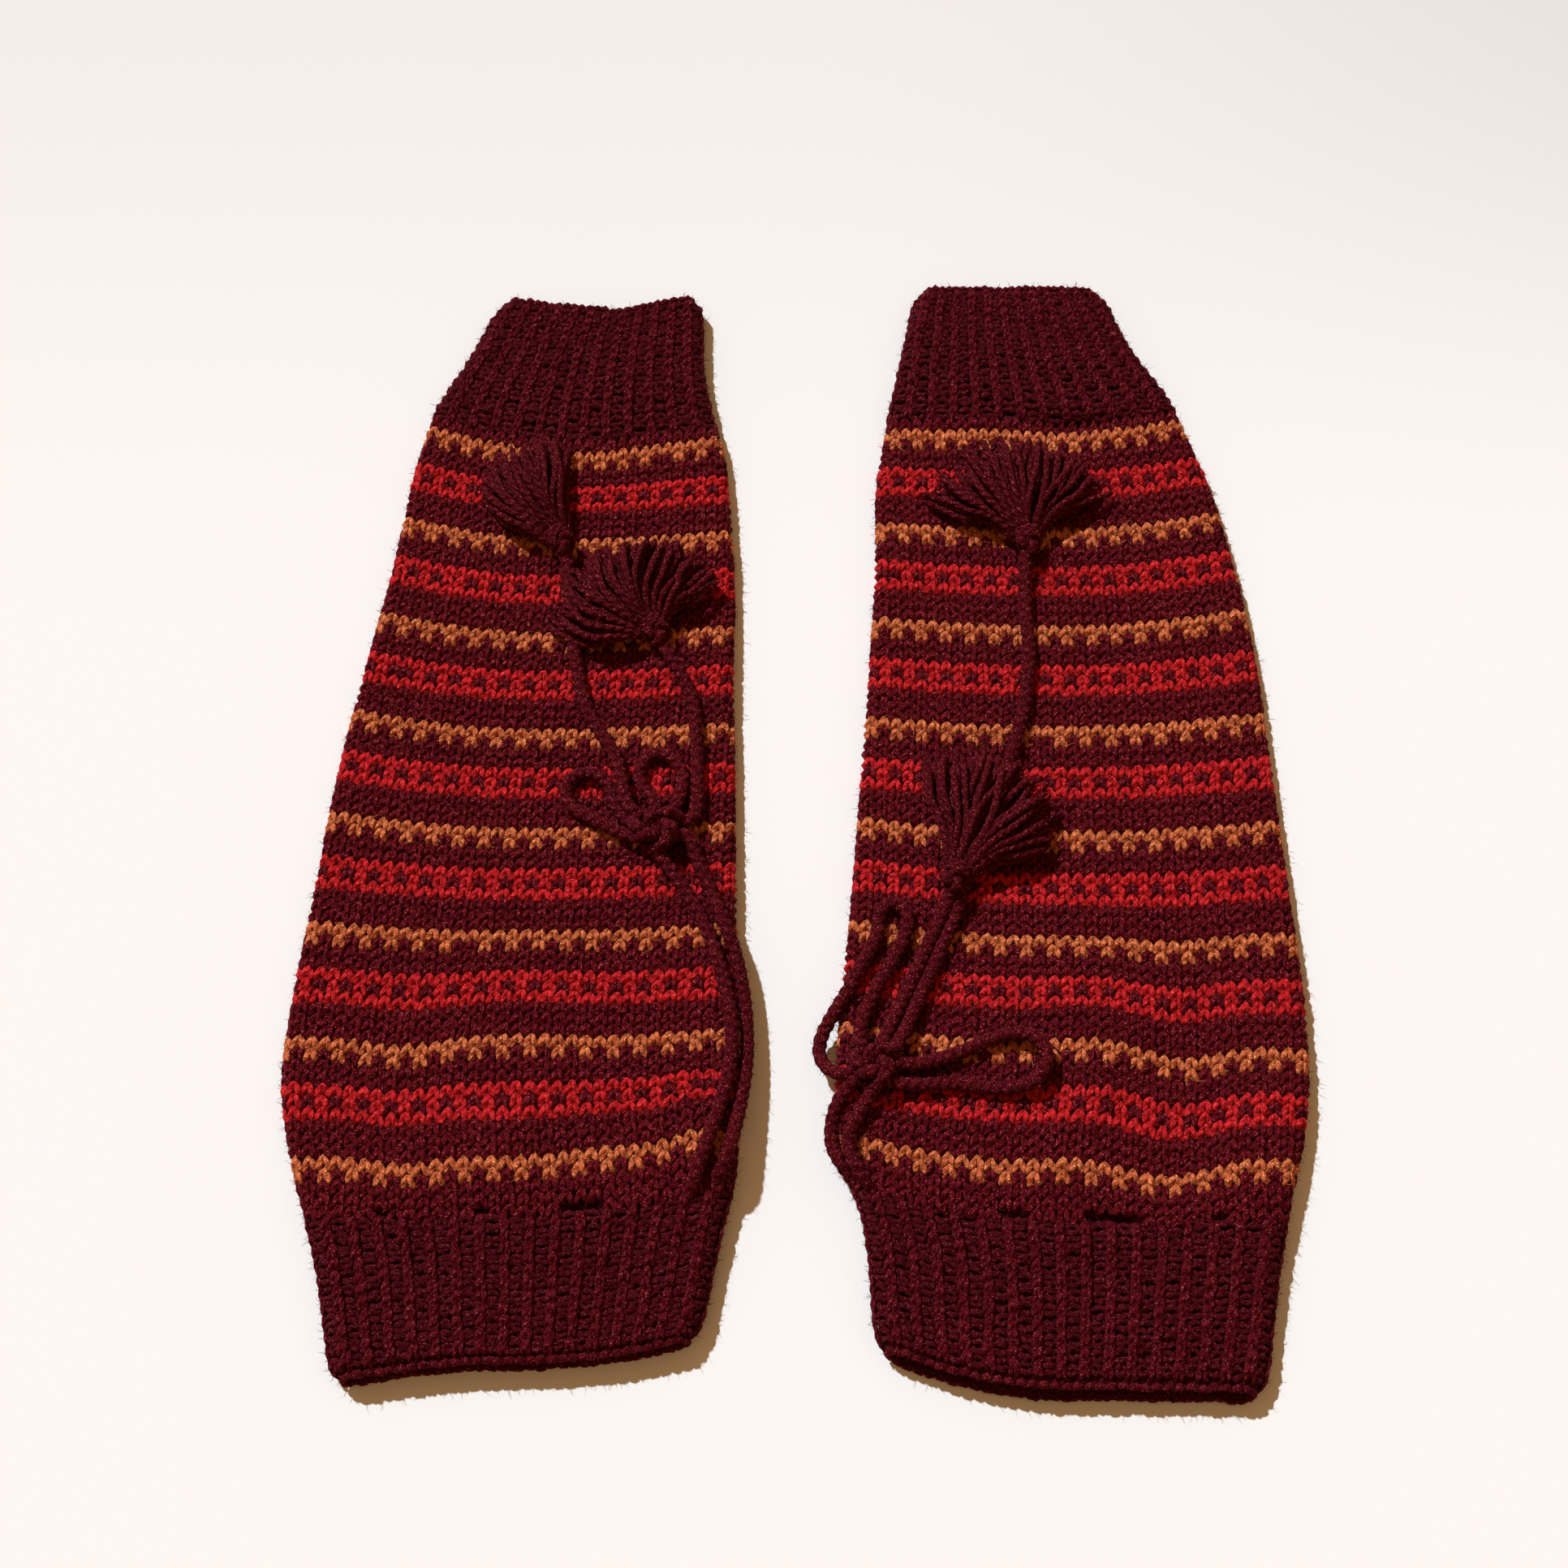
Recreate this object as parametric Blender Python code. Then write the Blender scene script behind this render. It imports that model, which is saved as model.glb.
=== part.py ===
"""Pair of hand-knitted leg warmers with tasselled drawstrings, laid flat side by side.

World frame: metres, +X to the right, +Y from the knee hems towards the ankle hems, +Z up,
origin on the table under the middle of the pair.
"""
import math
import random
from collections import namedtuple

import bmesh
import bpy
from mathutils import Vector

MM = 0.001

# Knitting gauge and cloth
ROWS = 101                  # knitted rows from ankle hem to knee hem
ANKLE_RIB_END = 14          # last row of the ankle rib
KNEE_RIB_START = 89         # first row of the knee rib
ANKLE_RIBS = 13             # 1 x 1 ribs that show across the front
KNEE_RIBS = 17
RIB_RELIEF = 1.5            # a rib stands this high over the purl valleys
BODY_WALL = 2.6             # stranded knitting
RIB_WALL = 3.1              # ribbing is thicker
SEAM_GAP_ROWS = 0.09        # 0.3 mm between neighbouring tubes

# Cord, knots and tassels
CORD_RADIUS = 2.2
CORD_STEP = 12.0            # between points of a cord's centre line
BOW_STEP = 7.0              # bow loops bend more tightly
TOUCH = 1.0                 # from a knot's round face to the end of a cord
HEAD_RADIUS = 4.6           # tied head of a tassel
STRAND_HALF = 1.05          # half the thickness of a tassel's yarn
TASSEL_LAYERS = 4
LOW_LAYERS = 2              # these lie on the cloth and are shorter at the fan's sides
HEAD_LATITUDES = 8
STRAND_STEPS = 3

# A cross section of one leg warmer where it lies: the y of its middle, the x of its two side
# edges, how far the knitted row rises towards the ankle at each side edge, and the height of
# the two layers together. All in millimetres.
Section = namedtuple("Section", "row middle_y left_x right_x left_rise right_rise stack")

LEFT_SECTIONS = (
    Section(0, 203.0, -115.5, -37.6, 4.0, 5.0, 9.4),
    Section(7, 175.0, -128.0, -36.9, 4.0, 2.5, 9.4),
    Section(12, 151.5, -138.0, -33.0, 8.0, 4.0, 9.2),
    Section(15, 137.0, -141.5, -29.3, 11.0, 6.0, 8.0),
    Section(20, 118.5, -145.8, -26.4, 10.0, 4.0, 7.6),
    Section(30, 79.5, -151.2, -24.1, 9.5, 3.5, 7.4),
    Section(40, 40.5, -158.6, -24.0, 8.5, 3.0, 7.4),
    Section(50, 2.0, -165.2, -23.2, 8.0, 2.5, 7.4),
    Section(60, -36.5, -169.8, -22.6, 5.5, 3.0, 7.6),
    Section(70, -75.5, -174.6, -21.5, 2.5, 3.5, 8.0),
    Section(78, -106.5, -176.4, -20.8, 0.0, 5.0, 8.6),
    Section(84, -131.0, -171.8, -20.6, -1.0, 7.5, 9.2),
    Section(88, -148.0, -166.4, -21.6, -1.0, 9.0, 9.6),
    Section(93, -168.5, -159.6, -26.4, -2.0, 9.0, 9.8),
    Section(101, -200.5, -152.2, -33.2, -6.0, 7.5, 9.8),
)
RIGHT_SECTIONS = (
    Section(0, 211.5, 47.2, 119.6, -0.5, -0.5, 9.4),
    Section(7, 184.0, 41.8, 130.0, 0.0, 1.0, 9.4),
    Section(12, 158.5, 36.6, 143.2, 1.0, 4.0, 9.2),
    Section(15, 144.0, 34.2, 147.4, 2.0, 6.5, 8.0),
    Section(20, 123.5, 30.8, 154.6, 2.5, 7.0, 7.6),
    Section(30, 83.0, 29.6, 163.2, 3.5, 7.5, 7.4),
    Section(40, 42.5, 26.8, 168.4, 4.0, 6.5, 7.4),
    Section(50, 2.0, 23.4, 170.8, 4.5, 4.5, 7.4),
    Section(60, -38.5, 20.2, 172.8, 6.0, 3.0, 7.6),
    Section(70, -77.0, 16.2, 175.0, 7.0, -1.0, 8.0),
    Section(78, -108.5, 13.4, 173.8, 8.5, -3.0, 8.6),
    Section(84, -134.0, 12.8, 168.8, 11.0, 0.0, 9.2),
    Section(88, -150.5, 16.6, 164.2, 12.0, 0.5, 9.6),
    Section(93, -171.5, 22.6, 158.6, 13.0, -1.0, 9.8),
    Section(101, -208.5, 25.6, 151.2, 13.0, -1.0, 9.8),
)

# A soft lump or dent in the upper layer: its row, its place across (-1 left edge, 1 right
# edge), its reach in rows and across, how high it lifts the cloth and how far it pulls the
# rows towards the ankle, both in millimetres.
Pucker = namedtuple("Pucker", "row across reach_rows reach_across lift pull")

LEFT_PUCKERS = (
    Pucker(15, 0.15, 5, 0.30, 0.8, -2.0),
    Pucker(76, -0.50, 6, 0.22, -0.6, -3.0),
    Pucker(72, 0.05, 6, 0.28, 1.6, 1.5),
    Pucker(85, -0.48, 4, 0.20, 1.0, -2.5),
    Pucker(84, -0.05, 5, 0.18, 2.0, 2.0),
    Pucker(85, 0.42, 4, 0.18, -0.6, -3.5),
    Pucker(84, 0.80, 5, 0.14, 1.6, 3.0),
    Pucker(92, 0.15, 5, 0.30, 1.0, 0.0),
)
RIGHT_PUCKERS = (
    Pucker(12, -0.30, 6, 0.30, 0.8, 1.5),
    Pucker(66, 0.42, 6, 0.26, -0.6, -1.5),
    Pucker(75, 0.46, 7, 0.18, -1.0, -5.0),
    Pucker(74, 0.05, 7, 0.22, 1.8, 1.5),
    Pucker(84, 0.42, 5, 0.22, -0.6, -4.0),
    Pucker(85, 0.02, 4, 0.18, 1.8, 1.0),
    Pucker(83, 0.85, 6, 0.16, 1.4, 1.0),
    Pucker(93, -0.15, 5, 0.30, 1.0, 0.0),
)

Leg = namedtuple("Leg", "side sections puckers knee_lip")

LEFT = Leg("left", LEFT_SECTIONS, LEFT_PUCKERS, 1.5)
RIGHT = Leg("right", RIGHT_SECTIONS, RIGHT_PUCKERS, 3.5)

# Routes of the cords over the cloth: x, y and the height of the cord's middle, in millimetres
LEFT_CORDS = {
    "cord_tail_long": ((-86.3, 91.6, 12.0), (-84.0, 80.0, 11.0), (-83.3, 67.0, 10.4), (-82.0, 55.0, 10.4),
                       (-80.3, 45.0, 10.4), (-76.8, 31.0, 10.4), (-70.5, 19.5, 10.6), (-64.0, 10.5, 11.0),
                       (-61.6, 2.5, 12.2), (-60.0, -3.2, 13.4), (-57.6, -7.6, 14.4)),
    "cord_tail_short": ((-48.6, 54.0, 12.4), (-45.0, 47.0, 11.4), (-41.4, 38.0, 10.6), (-38.0, 28.0, 10.4),
                        (-36.0, 16.0, 10.4), (-35.0, 4.0, 10.6), (-35.2, -6.0, 11.2), (-38.4, -12.6, 12.2)),
    "cord_bow_left": ((-60.4, -14.4, 11.6), (-66.2, -9.6, 10.8), (-68.4, -1.2, 10.4), (-73.4, 4.6, 10.4),
                      (-80.0, 4.8, 10.4), (-84.0, -1.4, 10.4), (-81.6, -9.0, 10.4), (-74.4, -15.4, 10.4),
                      (-67.0, -20.4, 10.8), (-59.4, -22.8, 11.6)),
    "cord_bow_right": ((-49.6, -5.6, 12.4), (-53.0, -0.2, 11.2), (-54.6, 5.6, 10.4), (-50.4, 10.6, 10.4),
                       (-44.2, 9.0, 10.4), (-41.4, 2.6, 10.6), (-42.2, -4.0, 11.4), (-44.6, -8.6, 12.4)),
    "cord_exit_front": ((-48.4, -27.2, 12.0), (-43.0, -34.4, 10.8), (-37.0, -43.8, 10.5), (-31.6, -55.0, 10.7),
                        (-27.4, -67.0, 11.0), (-24.4, -79.0, 11.6), (-22.9, -92.0, 12.2), (-24.0, -106.0, 12.6),
                        (-27.6, -120.0, 13.4), (-31.8, -132.0, 14.0), (-34.6, -141.0, 13.4)),
    "cord_exit_edge": ((-40.2, -22.6, 12.2), (-36.2, -30.0, 10.9), (-30.4, -39.6, 10.5), (-25.0, -51.0, 10.6),
                       (-20.4, -62.0, 10.0), (-17.0, -75.0, 8.6), (-15.4, -88.0, 8.0), (-15.6, -101.0, 8.4),
                       (-17.6, -114.0, 10.0), (-20.8, -126.0, 12.4), (-23.6, -134.6, 13.8)),
}
RIGHT_CORDS = {
    "cord_tail_long": ((84.9, 91.4, 12.0), (84.3, 80.0, 11.0), (84.3, 66.0, 10.4), (84.7, 53.0, 10.4),
                       (82.6, 34.0, 10.8), (79.6, 20.0, 13.0), (76.0, 6.0, 17.6), (73.2, -8.0, 19.8),
                       (69.0, -19.6, 19.4), (62.8, -31.0, 17.0), (56.4, -41.4, 13.4), (49.6, -53.0, 11.2),
                       (43.6, -65.0, 10.8), (38.8, -78.0, 11.2), (35.6, -89.0, 12.8), (32.2, -97.4, 15.4)),
    "cord_tail_short": ((48.2, -37.6, 12.4), (45.6, -43.6, 11.4), (41.0, -53.0, 10.8), (36.6, -64.0, 10.8),
                        (32.8, -76.0, 11.0), (29.2, -87.0, 12.2), (26.0, -95.4, 14.0)),
    "cord_bow_left": ((19.4, -96.0, 12.8), (21.8, -86.0, 11.6), (26.0, -75.0, 11.0), (30.8, -64.0, 10.8),
                      (35.0, -54.0, 10.6), (35.4, -46.4, 10.6), (30.8, -44.4, 10.6), (28.4, -53.0, 10.6),
                      (23.6, -63.0, 10.8), (18.4, -74.0, 10.6), (12.4, -83.6, 8.6), (8.0, -91.6, 6.8),
                      (7.0, -98.0, 6.8), (9.6, -104.0, 9.2), (13.4, -107.0, 12.0)),
    "cord_bow_right": ((33.2, -103.6, 12.8), (40.0, -102.8, 12.2), (48.0, -99.4, 11.8), (57.0, -95.6, 11.6),
                       (67.0, -91.8, 11.6), (76.0, -91.4, 11.8), (82.4, -95.0, 11.8), (82.0, -101.4, 11.8),
                       (75.0, -104.4, 11.6), (66.0, -103.8, 11.4), (57.0, -104.0, 11.6), (48.0, -106.8, 12.0),
                       (40.4, -109.8, 12.6), (33.6, -110.4, 13.2)),
    "cord_exit_front": ((23.4, -115.0, 13.0), (20.4, -121.0, 12.0), (18.4, -128.0, 12.2), (19.4, -135.0, 12.7),
                        (22.6, -141.0, 12.8)),
    "cord_exit_edge": ((16.2, -112.4, 12.2), (12.6, -117.6, 9.6), (11.0, -124.0, 7.6), (11.8, -131.0, 7.6),
                       (15.6, -137.6, 10.0)),
}

# Knot of each bow: centre and half sizes, in millimetres
Knot = namedtuple("Knot", "x y z half_x half_y half_z")
KNOTS = {
    "left": Knot(-49.0, -17.0, 13.0, 8.6, 7.6, 4.9),
    "right": Knot(23.6, -105.4, 13.8, 7.6, 7.0, 4.7),
}

# A tassel: its side, its name, its head's x, y and height, the direction of its fan's middle
# and the fan's half spread in degrees, the number of yarns across and their length
Tassel = namedtuple("Tassel", "side name x y z heading half_spread across length seed")
TASSELS = (
    Tassel("left", "tassel_long", -88.5, 97.4, 12.9, 117.0, 44.0, 10, 49.0, 3),
    Tassel("left", "tassel_short", -52.0, 60.4, 12.9, 108.0, 80.0, 14, 41.0, 5),
    Tassel("right", "tassel_long", 86.0, 97.4, 12.9, 96.0, 62.0, 12, 45.0, 7),
    Tassel("right", "tassel_short", 50.4, -32.0, 12.9, 70.0, 56.0, 12, 45.0, 11),
)
LOW_SIDE = {("right", "tassel_short"): 0.0}   # beyond this the fan has only its two low layers

# Colours are linear RGB
MAROON = (0.062, 0.006, 0.010, 1.0)
MAROON_CORD = (0.050, 0.005, 0.010, 1.0)
YARN_ROUGHNESS = 0.9


def smooth_read(keys, values, at):
    """Read a table with a smooth curve through its rows."""
    last = len(keys) - 1
    at = min(max(at, keys[0]), keys[last])
    i = max(k for k in range(last) if keys[k] <= at)
    span = keys[i + 1] - keys[i]

    def slope(k):
        low, high = max(k - 1, 0), min(k + 1, last)
        return (values[high] - values[low]) / (keys[high] - keys[low])

    t = (at - keys[i]) / span
    rise = values[i + 1] - values[i]
    ease = t * t * (3 - 2 * t)
    return (values[i] + rise * ease
            + span * slope(i) * t * (1 - t) ** 2
            - span * slope(i + 1) * t * t * (1 - t))


def section_at(leg, row):
    """The cross section at any knitted row, between the rows of the table."""
    keys = [s.row for s in leg.sections]
    return Section(row, *(smooth_read(keys, [s[c] for s in leg.sections], row) for c in range(1, 7)))


def pucker_sum(leg, row, across):
    """Lift and pull of the upper layer at a place on the leg."""
    lift = pull = 0.0
    for p in leg.puckers:
        away = ((row - p.row) / p.reach_rows) ** 2 + ((across - p.across) / p.reach_across) ** 2
        share = math.exp(-away)
        lift += p.lift * share
        pull += p.pull * share
    return lift, pull


def row_y(leg, section, row, across, height_share):
    """The y of a knitted row: it curves to the side edges, and the lower layer shows at the knee."""
    rise = section.left_rise if across < 0 else section.right_rise
    lift, pull = pucker_sum(leg, row, across)
    lip = leg.knee_lip * max(0.0, (row - KNEE_RIB_START) / (ROWS - KNEE_RIB_START)) ** 2
    return section.middle_y + rise * across * across + pull * height_share - lip * (1 - height_share)


def rib_relief(share, ribs):
    """Height of a rib at a share of the way across: a flat top between narrow valleys."""
    phase = (share * ribs) % 1.0
    return 0.0 if min(phase, 1 - phase) < 0.1 else RIB_RELIEF


def loop_points(leg, row, inset, ribs, top_count, bottom_count):
    """One closed loop of the tube: over the top from left to right, and back underneath."""
    section = section_at(leg, row)
    left, right = section.left_x + inset, section.right_x - inset
    high = section.stack - inset
    radius = (high - inset) / 2
    middle = (high + inset) / 2
    centre, half = (left + right) / 2, (section.right_x - section.left_x) / 2
    flat = (right - left) / 2 - radius
    places = []
    for i in range(top_count + 1):
        share = i / top_count
        x = centre + flat * (2 * share - 1)
        lift, _ = pucker_sum(leg, row, (x - centre) / half)
        relief = rib_relief(share, ribs) - RIB_RELIEF / 2 if ribs else 0.0
        places.append((x, high + lift + relief))
    for angle in (45, 0, -45):
        turn = math.radians(angle)
        places.append((right - radius + radius * math.cos(turn), middle + radius * math.sin(turn)))
    for i in range(bottom_count + 1):
        places.append((centre + flat * (1 - 2 * i / bottom_count), inset))
    for angle in (-135, 180, 135):
        turn = math.radians(angle)
        places.append((left + radius + radius * math.cos(turn), middle + radius * math.sin(turn)))
    points = []
    for x, z in places:
        across = (x - centre) / half
        y = row_y(leg, section, row, across, min(z / section.stack, 1.0))
        points.append(Vector((x, y, z)) * MM)
    return points


def around_share(points):
    """How far round its loop each point lies, 0 to 1."""
    steps = [(points[(i + 1) % len(points)] - p).length for i, p in enumerate(points)]
    total = sum(steps)
    shares = [0.0]
    for step in steps:
        shares.append(shares[-1] + step / total)
    return shares


def stitch_loops(mesh, first, second):
    """Fill between two closed loops of verts that may differ in count."""
    share_a = around_share([v.co for v in first])
    share_b = around_share([v.co for v in second])
    a = b = 0
    while a < len(first) or b < len(second):
        here_a, here_b = first[a % len(first)], second[b % len(second)]
        if b >= len(second) or (a < len(first) and share_a[a + 1] <= share_b[b + 1]):
            a += 1
            mesh.faces.new((here_a, first[a % len(first)], here_b))
        else:
            b += 1
            mesh.faces.new((here_a, second[b % len(second)], here_b))


def fill_band(mesh, first, second):
    """Fill between two loops of the same count with four-sided faces."""
    count = len(first)
    for i in range(count):
        j = (i + 1) % count
        mesh.faces.new((first[i], first[j], second[j], second[i]))


def new_object(name, mesh, colour, collection):
    """Turn a bmesh into a named object with its own material."""
    bmesh.ops.recalc_face_normals(mesh, faces=mesh.faces)
    data = bpy.data.meshes.new(name)
    mesh.to_mesh(data)
    mesh.free()
    data.shade_smooth()
    thing = bpy.data.objects.new(name, data)
    thing.data.materials.append(yarn_material(name, colour))
    collection.objects.link(thing)
    return thing


def yarn_material(name, colour):
    material = bpy.data.materials.new(name + "_yarn")
    material.use_nodes = True
    shader = material.node_tree.nodes["Principled BSDF"]
    shader.inputs["Base Color"].default_value = colour
    shader.inputs["Roughness"].default_value = YARN_ROUGHNESS
    shader.inputs["Metallic"].default_value = 0.0
    return material


def knitted_tube(name, leg, rows, wall, ribs, top_count, collection):
    """A flattened tube with a real wall, ribbed outside if asked and plain inside."""
    mesh = bmesh.new()
    outer, inner = [], []
    for row in rows:
        outer.append([mesh.verts.new(p) for p in loop_points(leg, row, 0.0, ribs, top_count, 8)])
        inner.append([mesh.verts.new(p) for p in loop_points(leg, row, wall, 0, 10, 8)])
    for before, after in zip(outer, outer[1:]):
        fill_band(mesh, before, after)
    for before, after in zip(inner, inner[1:]):
        fill_band(mesh, after, before)
    stitch_loops(mesh, inner[0], outer[0])
    stitch_loops(mesh, outer[-1], inner[-1])
    return new_object(leg.side + "_" + name, mesh, MAROON, collection)


def even_rows(start, end, bands):
    return [start + (end - start) * i / bands for i in range(bands + 1)]


def build_leg(leg, collection):
    """Ankle rib, body and knee rib of one leg warmer."""
    gap = SEAM_GAP_ROWS / 2
    knitted_tube("ankle_rib", leg, even_rows(0, ANKLE_RIB_END - gap, 5), RIB_WALL,
                 ANKLE_RIBS, 3 * ANKLE_RIBS, collection)
    knitted_tube("body", leg, even_rows(ANKLE_RIB_END + gap, KNEE_RIB_START - gap, 17), BODY_WALL,
                 0, 22, collection)
    knitted_tube("knee_rib", leg, even_rows(KNEE_RIB_START + gap, ROWS, 5), RIB_WALL,
                 KNEE_RIBS, 3 * KNEE_RIBS, collection)


def smooth_route(route, step):
    """Points about one step apart on a smooth curve through the route's own points."""
    route = [Vector(p) for p in route]
    ends = [route[0] * 2 - route[1]] + route + [route[-1] * 2 - route[-2]]
    fine = []
    for before, a, b, after in zip(ends, ends[1:], ends[2:], ends[3:]):
        for i in range(12):
            t = i / 12
            fine.append((a * 2 + (b - before) * t + (before * 2 - a * 5 + b * 4 - after) * t * t
                         + (a * 3 - before - b * 3 + after) * t ** 3) / 2)
    fine.append(route[-1])
    travelled = [0.0]
    for a, b in zip(fine, fine[1:]):
        travelled.append(travelled[-1] + (b - a).length)
    count = max(2, round(travelled[-1] / step))
    points, at = [], 0
    for i in range(count + 1):
        want = travelled[-1] * i / count
        while at < len(fine) - 2 and travelled[at + 1] < want:
            at += 1
        span = travelled[at + 1] - travelled[at]
        points.append(fine[at].lerp(fine[at + 1], min(1.0, (want - travelled[at]) / span)))
    return points


def meet(place, piece, halves):
    """Slide the end of a route along its line from a rounded piece until it just meets it."""
    centre = Vector((piece.x, piece.y, piece.z))
    away = (Vector(place) - centre).normalized()
    reach = 1 / math.sqrt(sum((a / h) ** 2 for a, h in zip(away, halves)))
    return centre + away * (reach + TOUCH)


def seated_route(side, name, route):
    """A cord's route with its ends brought to the knot and, on a tail, to the tassel's head."""
    knot = KNOTS[side]
    halves = (knot.half_x, knot.half_y, knot.half_z)
    route = [Vector(p) for p in route]
    if "tail" in name:
        tassel = next(t for t in TASSELS if t.side == side and t.name[7:] == name[10:])
        route[0] = meet(route[0], tassel, (HEAD_RADIUS,) * 3)
        route[-1] = meet(route[-1], knot, halves)
    else:
        route[0] = meet(route[0], knot, halves)
    if "bow" in name:
        route[-1] = meet(route[-1], knot, halves)
    return route


def cord(name, route, step, collection):
    """A stretch of twisted cord: a round tube along its route."""
    points = smooth_route(route, step)
    curve = bpy.data.curves.new(name, "CURVE")
    curve.dimensions = "3D"
    curve.bevel_depth = CORD_RADIUS * MM
    curve.bevel_resolution = 2
    curve.use_fill_caps = True
    spline = curve.splines.new("POLY")
    spline.points.add(len(points) - 1)
    for spot, place in zip(spline.points, points):
        spot.co = (*(place * MM), 1.0)
    curve.materials.append(yarn_material(name, MAROON_CORD))
    thing = bpy.data.objects.new(name, curve)
    collection.objects.link(thing)


def bow_knot(side, knot, collection):
    """The knot as one rounded solid."""
    mesh = bmesh.new()
    bmesh.ops.create_icosphere(mesh, subdivisions=2, radius=1.0)
    half = Vector((knot.half_x, knot.half_y, knot.half_z)) * MM
    bmesh.ops.scale(mesh, vec=half, verts=mesh.verts)
    thing = new_object(side + "_bow_knot", mesh, MAROON_CORD, collection)
    thing.location = Vector((knot.x, knot.y, knot.z)) * MM


def strand_places(tassel):
    """For each yarn: its column and layer, its angle off the fan's middle, and its length."""
    chance = random.Random(tassel.seed)
    low_from = LOW_SIDE.get((tassel.side, tassel.name))
    for column in range(tassel.across):
        spread = 2 * (column + 0.5) / tassel.across - 1
        for layer in range(TASSEL_LAYERS):
            stagger = (layer % 2 - 0.5) * 0.5 / tassel.across
            length = tassel.length * chance.uniform(0.88, 1.04) * (1 - 0.14 * spread * spread)
            if low_from is not None and spread < low_from and layer >= LOW_LAYERS:
                continue
            if layer < LOW_LAYERS:
                length *= 0.86 * (1 - 0.34 * spread * spread)
            yield column, layer, math.radians(tassel.half_spread) * (spread + stagger), length


def build_tassel(tassel, collection):
    """A tied head whose front faces are drawn out into yarns that fan over the cloth."""
    mesh = bmesh.new()
    segments = 2 * tassel.across
    bmesh.ops.create_uvsphere(mesh, u_segments=segments, v_segments=HEAD_LATITUDES,
                              radius=HEAD_RADIUS * MM)
    mesh.faces.ensure_lookup_table()
    roots = {}
    for face in mesh.faces:
        middle = face.calc_center_median()
        latitude = math.degrees(math.asin(max(-1, min(1, middle.z / middle.length))))
        layer = int((latitude + 45) // 22.5)
        if len(face.verts) != 4 or not 0 <= layer < TASSEL_LAYERS or middle.y <= 0:
            continue
        angle = math.atan2(-middle.x, middle.y)
        column = int((angle / math.pi + 0.5) * tassel.across)
        roots[column, layer] = face
    for column, layer, angle, length in strand_places(tassel):
        draw_strand(mesh, roots[column, layer], layer, angle, length, tassel)
    thing = new_object(tassel.side + "_" + tassel.name, mesh, MAROON_CORD, collection)
    thing.location = Vector((tassel.x, tassel.y, tassel.z)) * MM
    thing.rotation_euler.z = math.radians(tassel.heading - 90)


def draw_strand(mesh, face, layer, angle, length, tassel):
    """Draw one face of the head out along an arched path that comes down at its tip."""
    root = face.calc_center_median() / MM
    ahead = Vector((-math.sin(angle), math.cos(angle), 0))
    side = Vector((math.cos(angle), math.sin(angle), 0))
    signs = {v: ((v.co / MM - root).dot(side) > 0, v.co.z / MM > root.z) for v in face.verts}
    signs = [(1 if right else -1, 1 if above else -1) for right, above in signs.values()]
    tip_z = -3.4 + 3.5 * layer
    column_angle = math.radians(2 * tassel.half_spread / tassel.across)
    for step in range(1, STRAND_STEPS + 1):
        t = step / STRAND_STEPS
        out = HEAD_RADIUS + (length - HEAD_RADIUS) * t
        rise = root.z + (tip_z - root.z) * t + (1.0 + 0.8 * layer) * 3 * t * (1 - t)
        across = out * column_angle
        half_side = min(STRAND_HALF, 0.40 * across)
        half_high = min(STRAND_HALF, 0.40 * (1.9 + 1.6 * t))
        taper = 0.75 if step == STRAND_STEPS else 1.0
        middle = Vector((0, 0, rise)) + ahead * out
        face = bmesh.ops.extrude_discrete_faces(mesh, faces=[face])["faces"][0]
        for vert, (right, above) in zip(face.verts, signs):
            vert.co = (middle + side * half_side * taper * right
                       + Vector((0, 0, half_high * taper * above))) * MM


def clear_scene():
    for thing in list(bpy.data.objects):
        bpy.data.objects.remove(thing, do_unlink=True)


def main():
    clear_scene()
    parts = bpy.data.collections.new("leg_warmers")
    cutters = bpy.data.collections.new("cutters")
    for collection in (parts, cutters):
        bpy.context.scene.collection.children.link(collection)
    for leg, routes in ((LEFT, LEFT_CORDS), (RIGHT, RIGHT_CORDS)):
        build_leg(leg, parts)
        for name, route in routes.items():
            step = BOW_STEP if "bow" in name else CORD_STEP
            cord(leg.side + "_" + name, seated_route(leg.side, name, route), step, parts)
        bow_knot(leg.side, KNOTS[leg.side], parts)
    for tassel in TASSELS:
        build_tassel(tassel, parts)


main()
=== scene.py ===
"""Pair of hand-knitted leg warmers lying flat on a pale table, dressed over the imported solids.

The tables and routes are in millimetres, in the frame of the solids: +X to the right, +Y from
the knee hems towards the ankle hems, +Z up from the table. Meshes are made in metres.
"""
import math
import random
from collections import namedtuple

import bpy
import numpy as np
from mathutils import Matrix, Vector


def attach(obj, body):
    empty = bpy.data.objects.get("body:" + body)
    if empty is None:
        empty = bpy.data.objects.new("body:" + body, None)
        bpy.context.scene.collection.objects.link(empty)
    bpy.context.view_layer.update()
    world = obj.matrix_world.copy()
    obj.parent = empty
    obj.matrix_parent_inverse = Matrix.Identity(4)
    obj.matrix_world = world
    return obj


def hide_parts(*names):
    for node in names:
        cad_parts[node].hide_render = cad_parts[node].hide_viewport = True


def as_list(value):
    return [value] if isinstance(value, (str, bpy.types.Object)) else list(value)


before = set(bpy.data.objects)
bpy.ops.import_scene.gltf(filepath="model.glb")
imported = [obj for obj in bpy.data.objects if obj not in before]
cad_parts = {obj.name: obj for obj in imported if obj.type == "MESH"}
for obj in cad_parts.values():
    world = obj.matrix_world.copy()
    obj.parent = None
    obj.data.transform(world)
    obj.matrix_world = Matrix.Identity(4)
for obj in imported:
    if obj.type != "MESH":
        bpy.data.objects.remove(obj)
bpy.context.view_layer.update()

MM = 0.001

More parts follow.
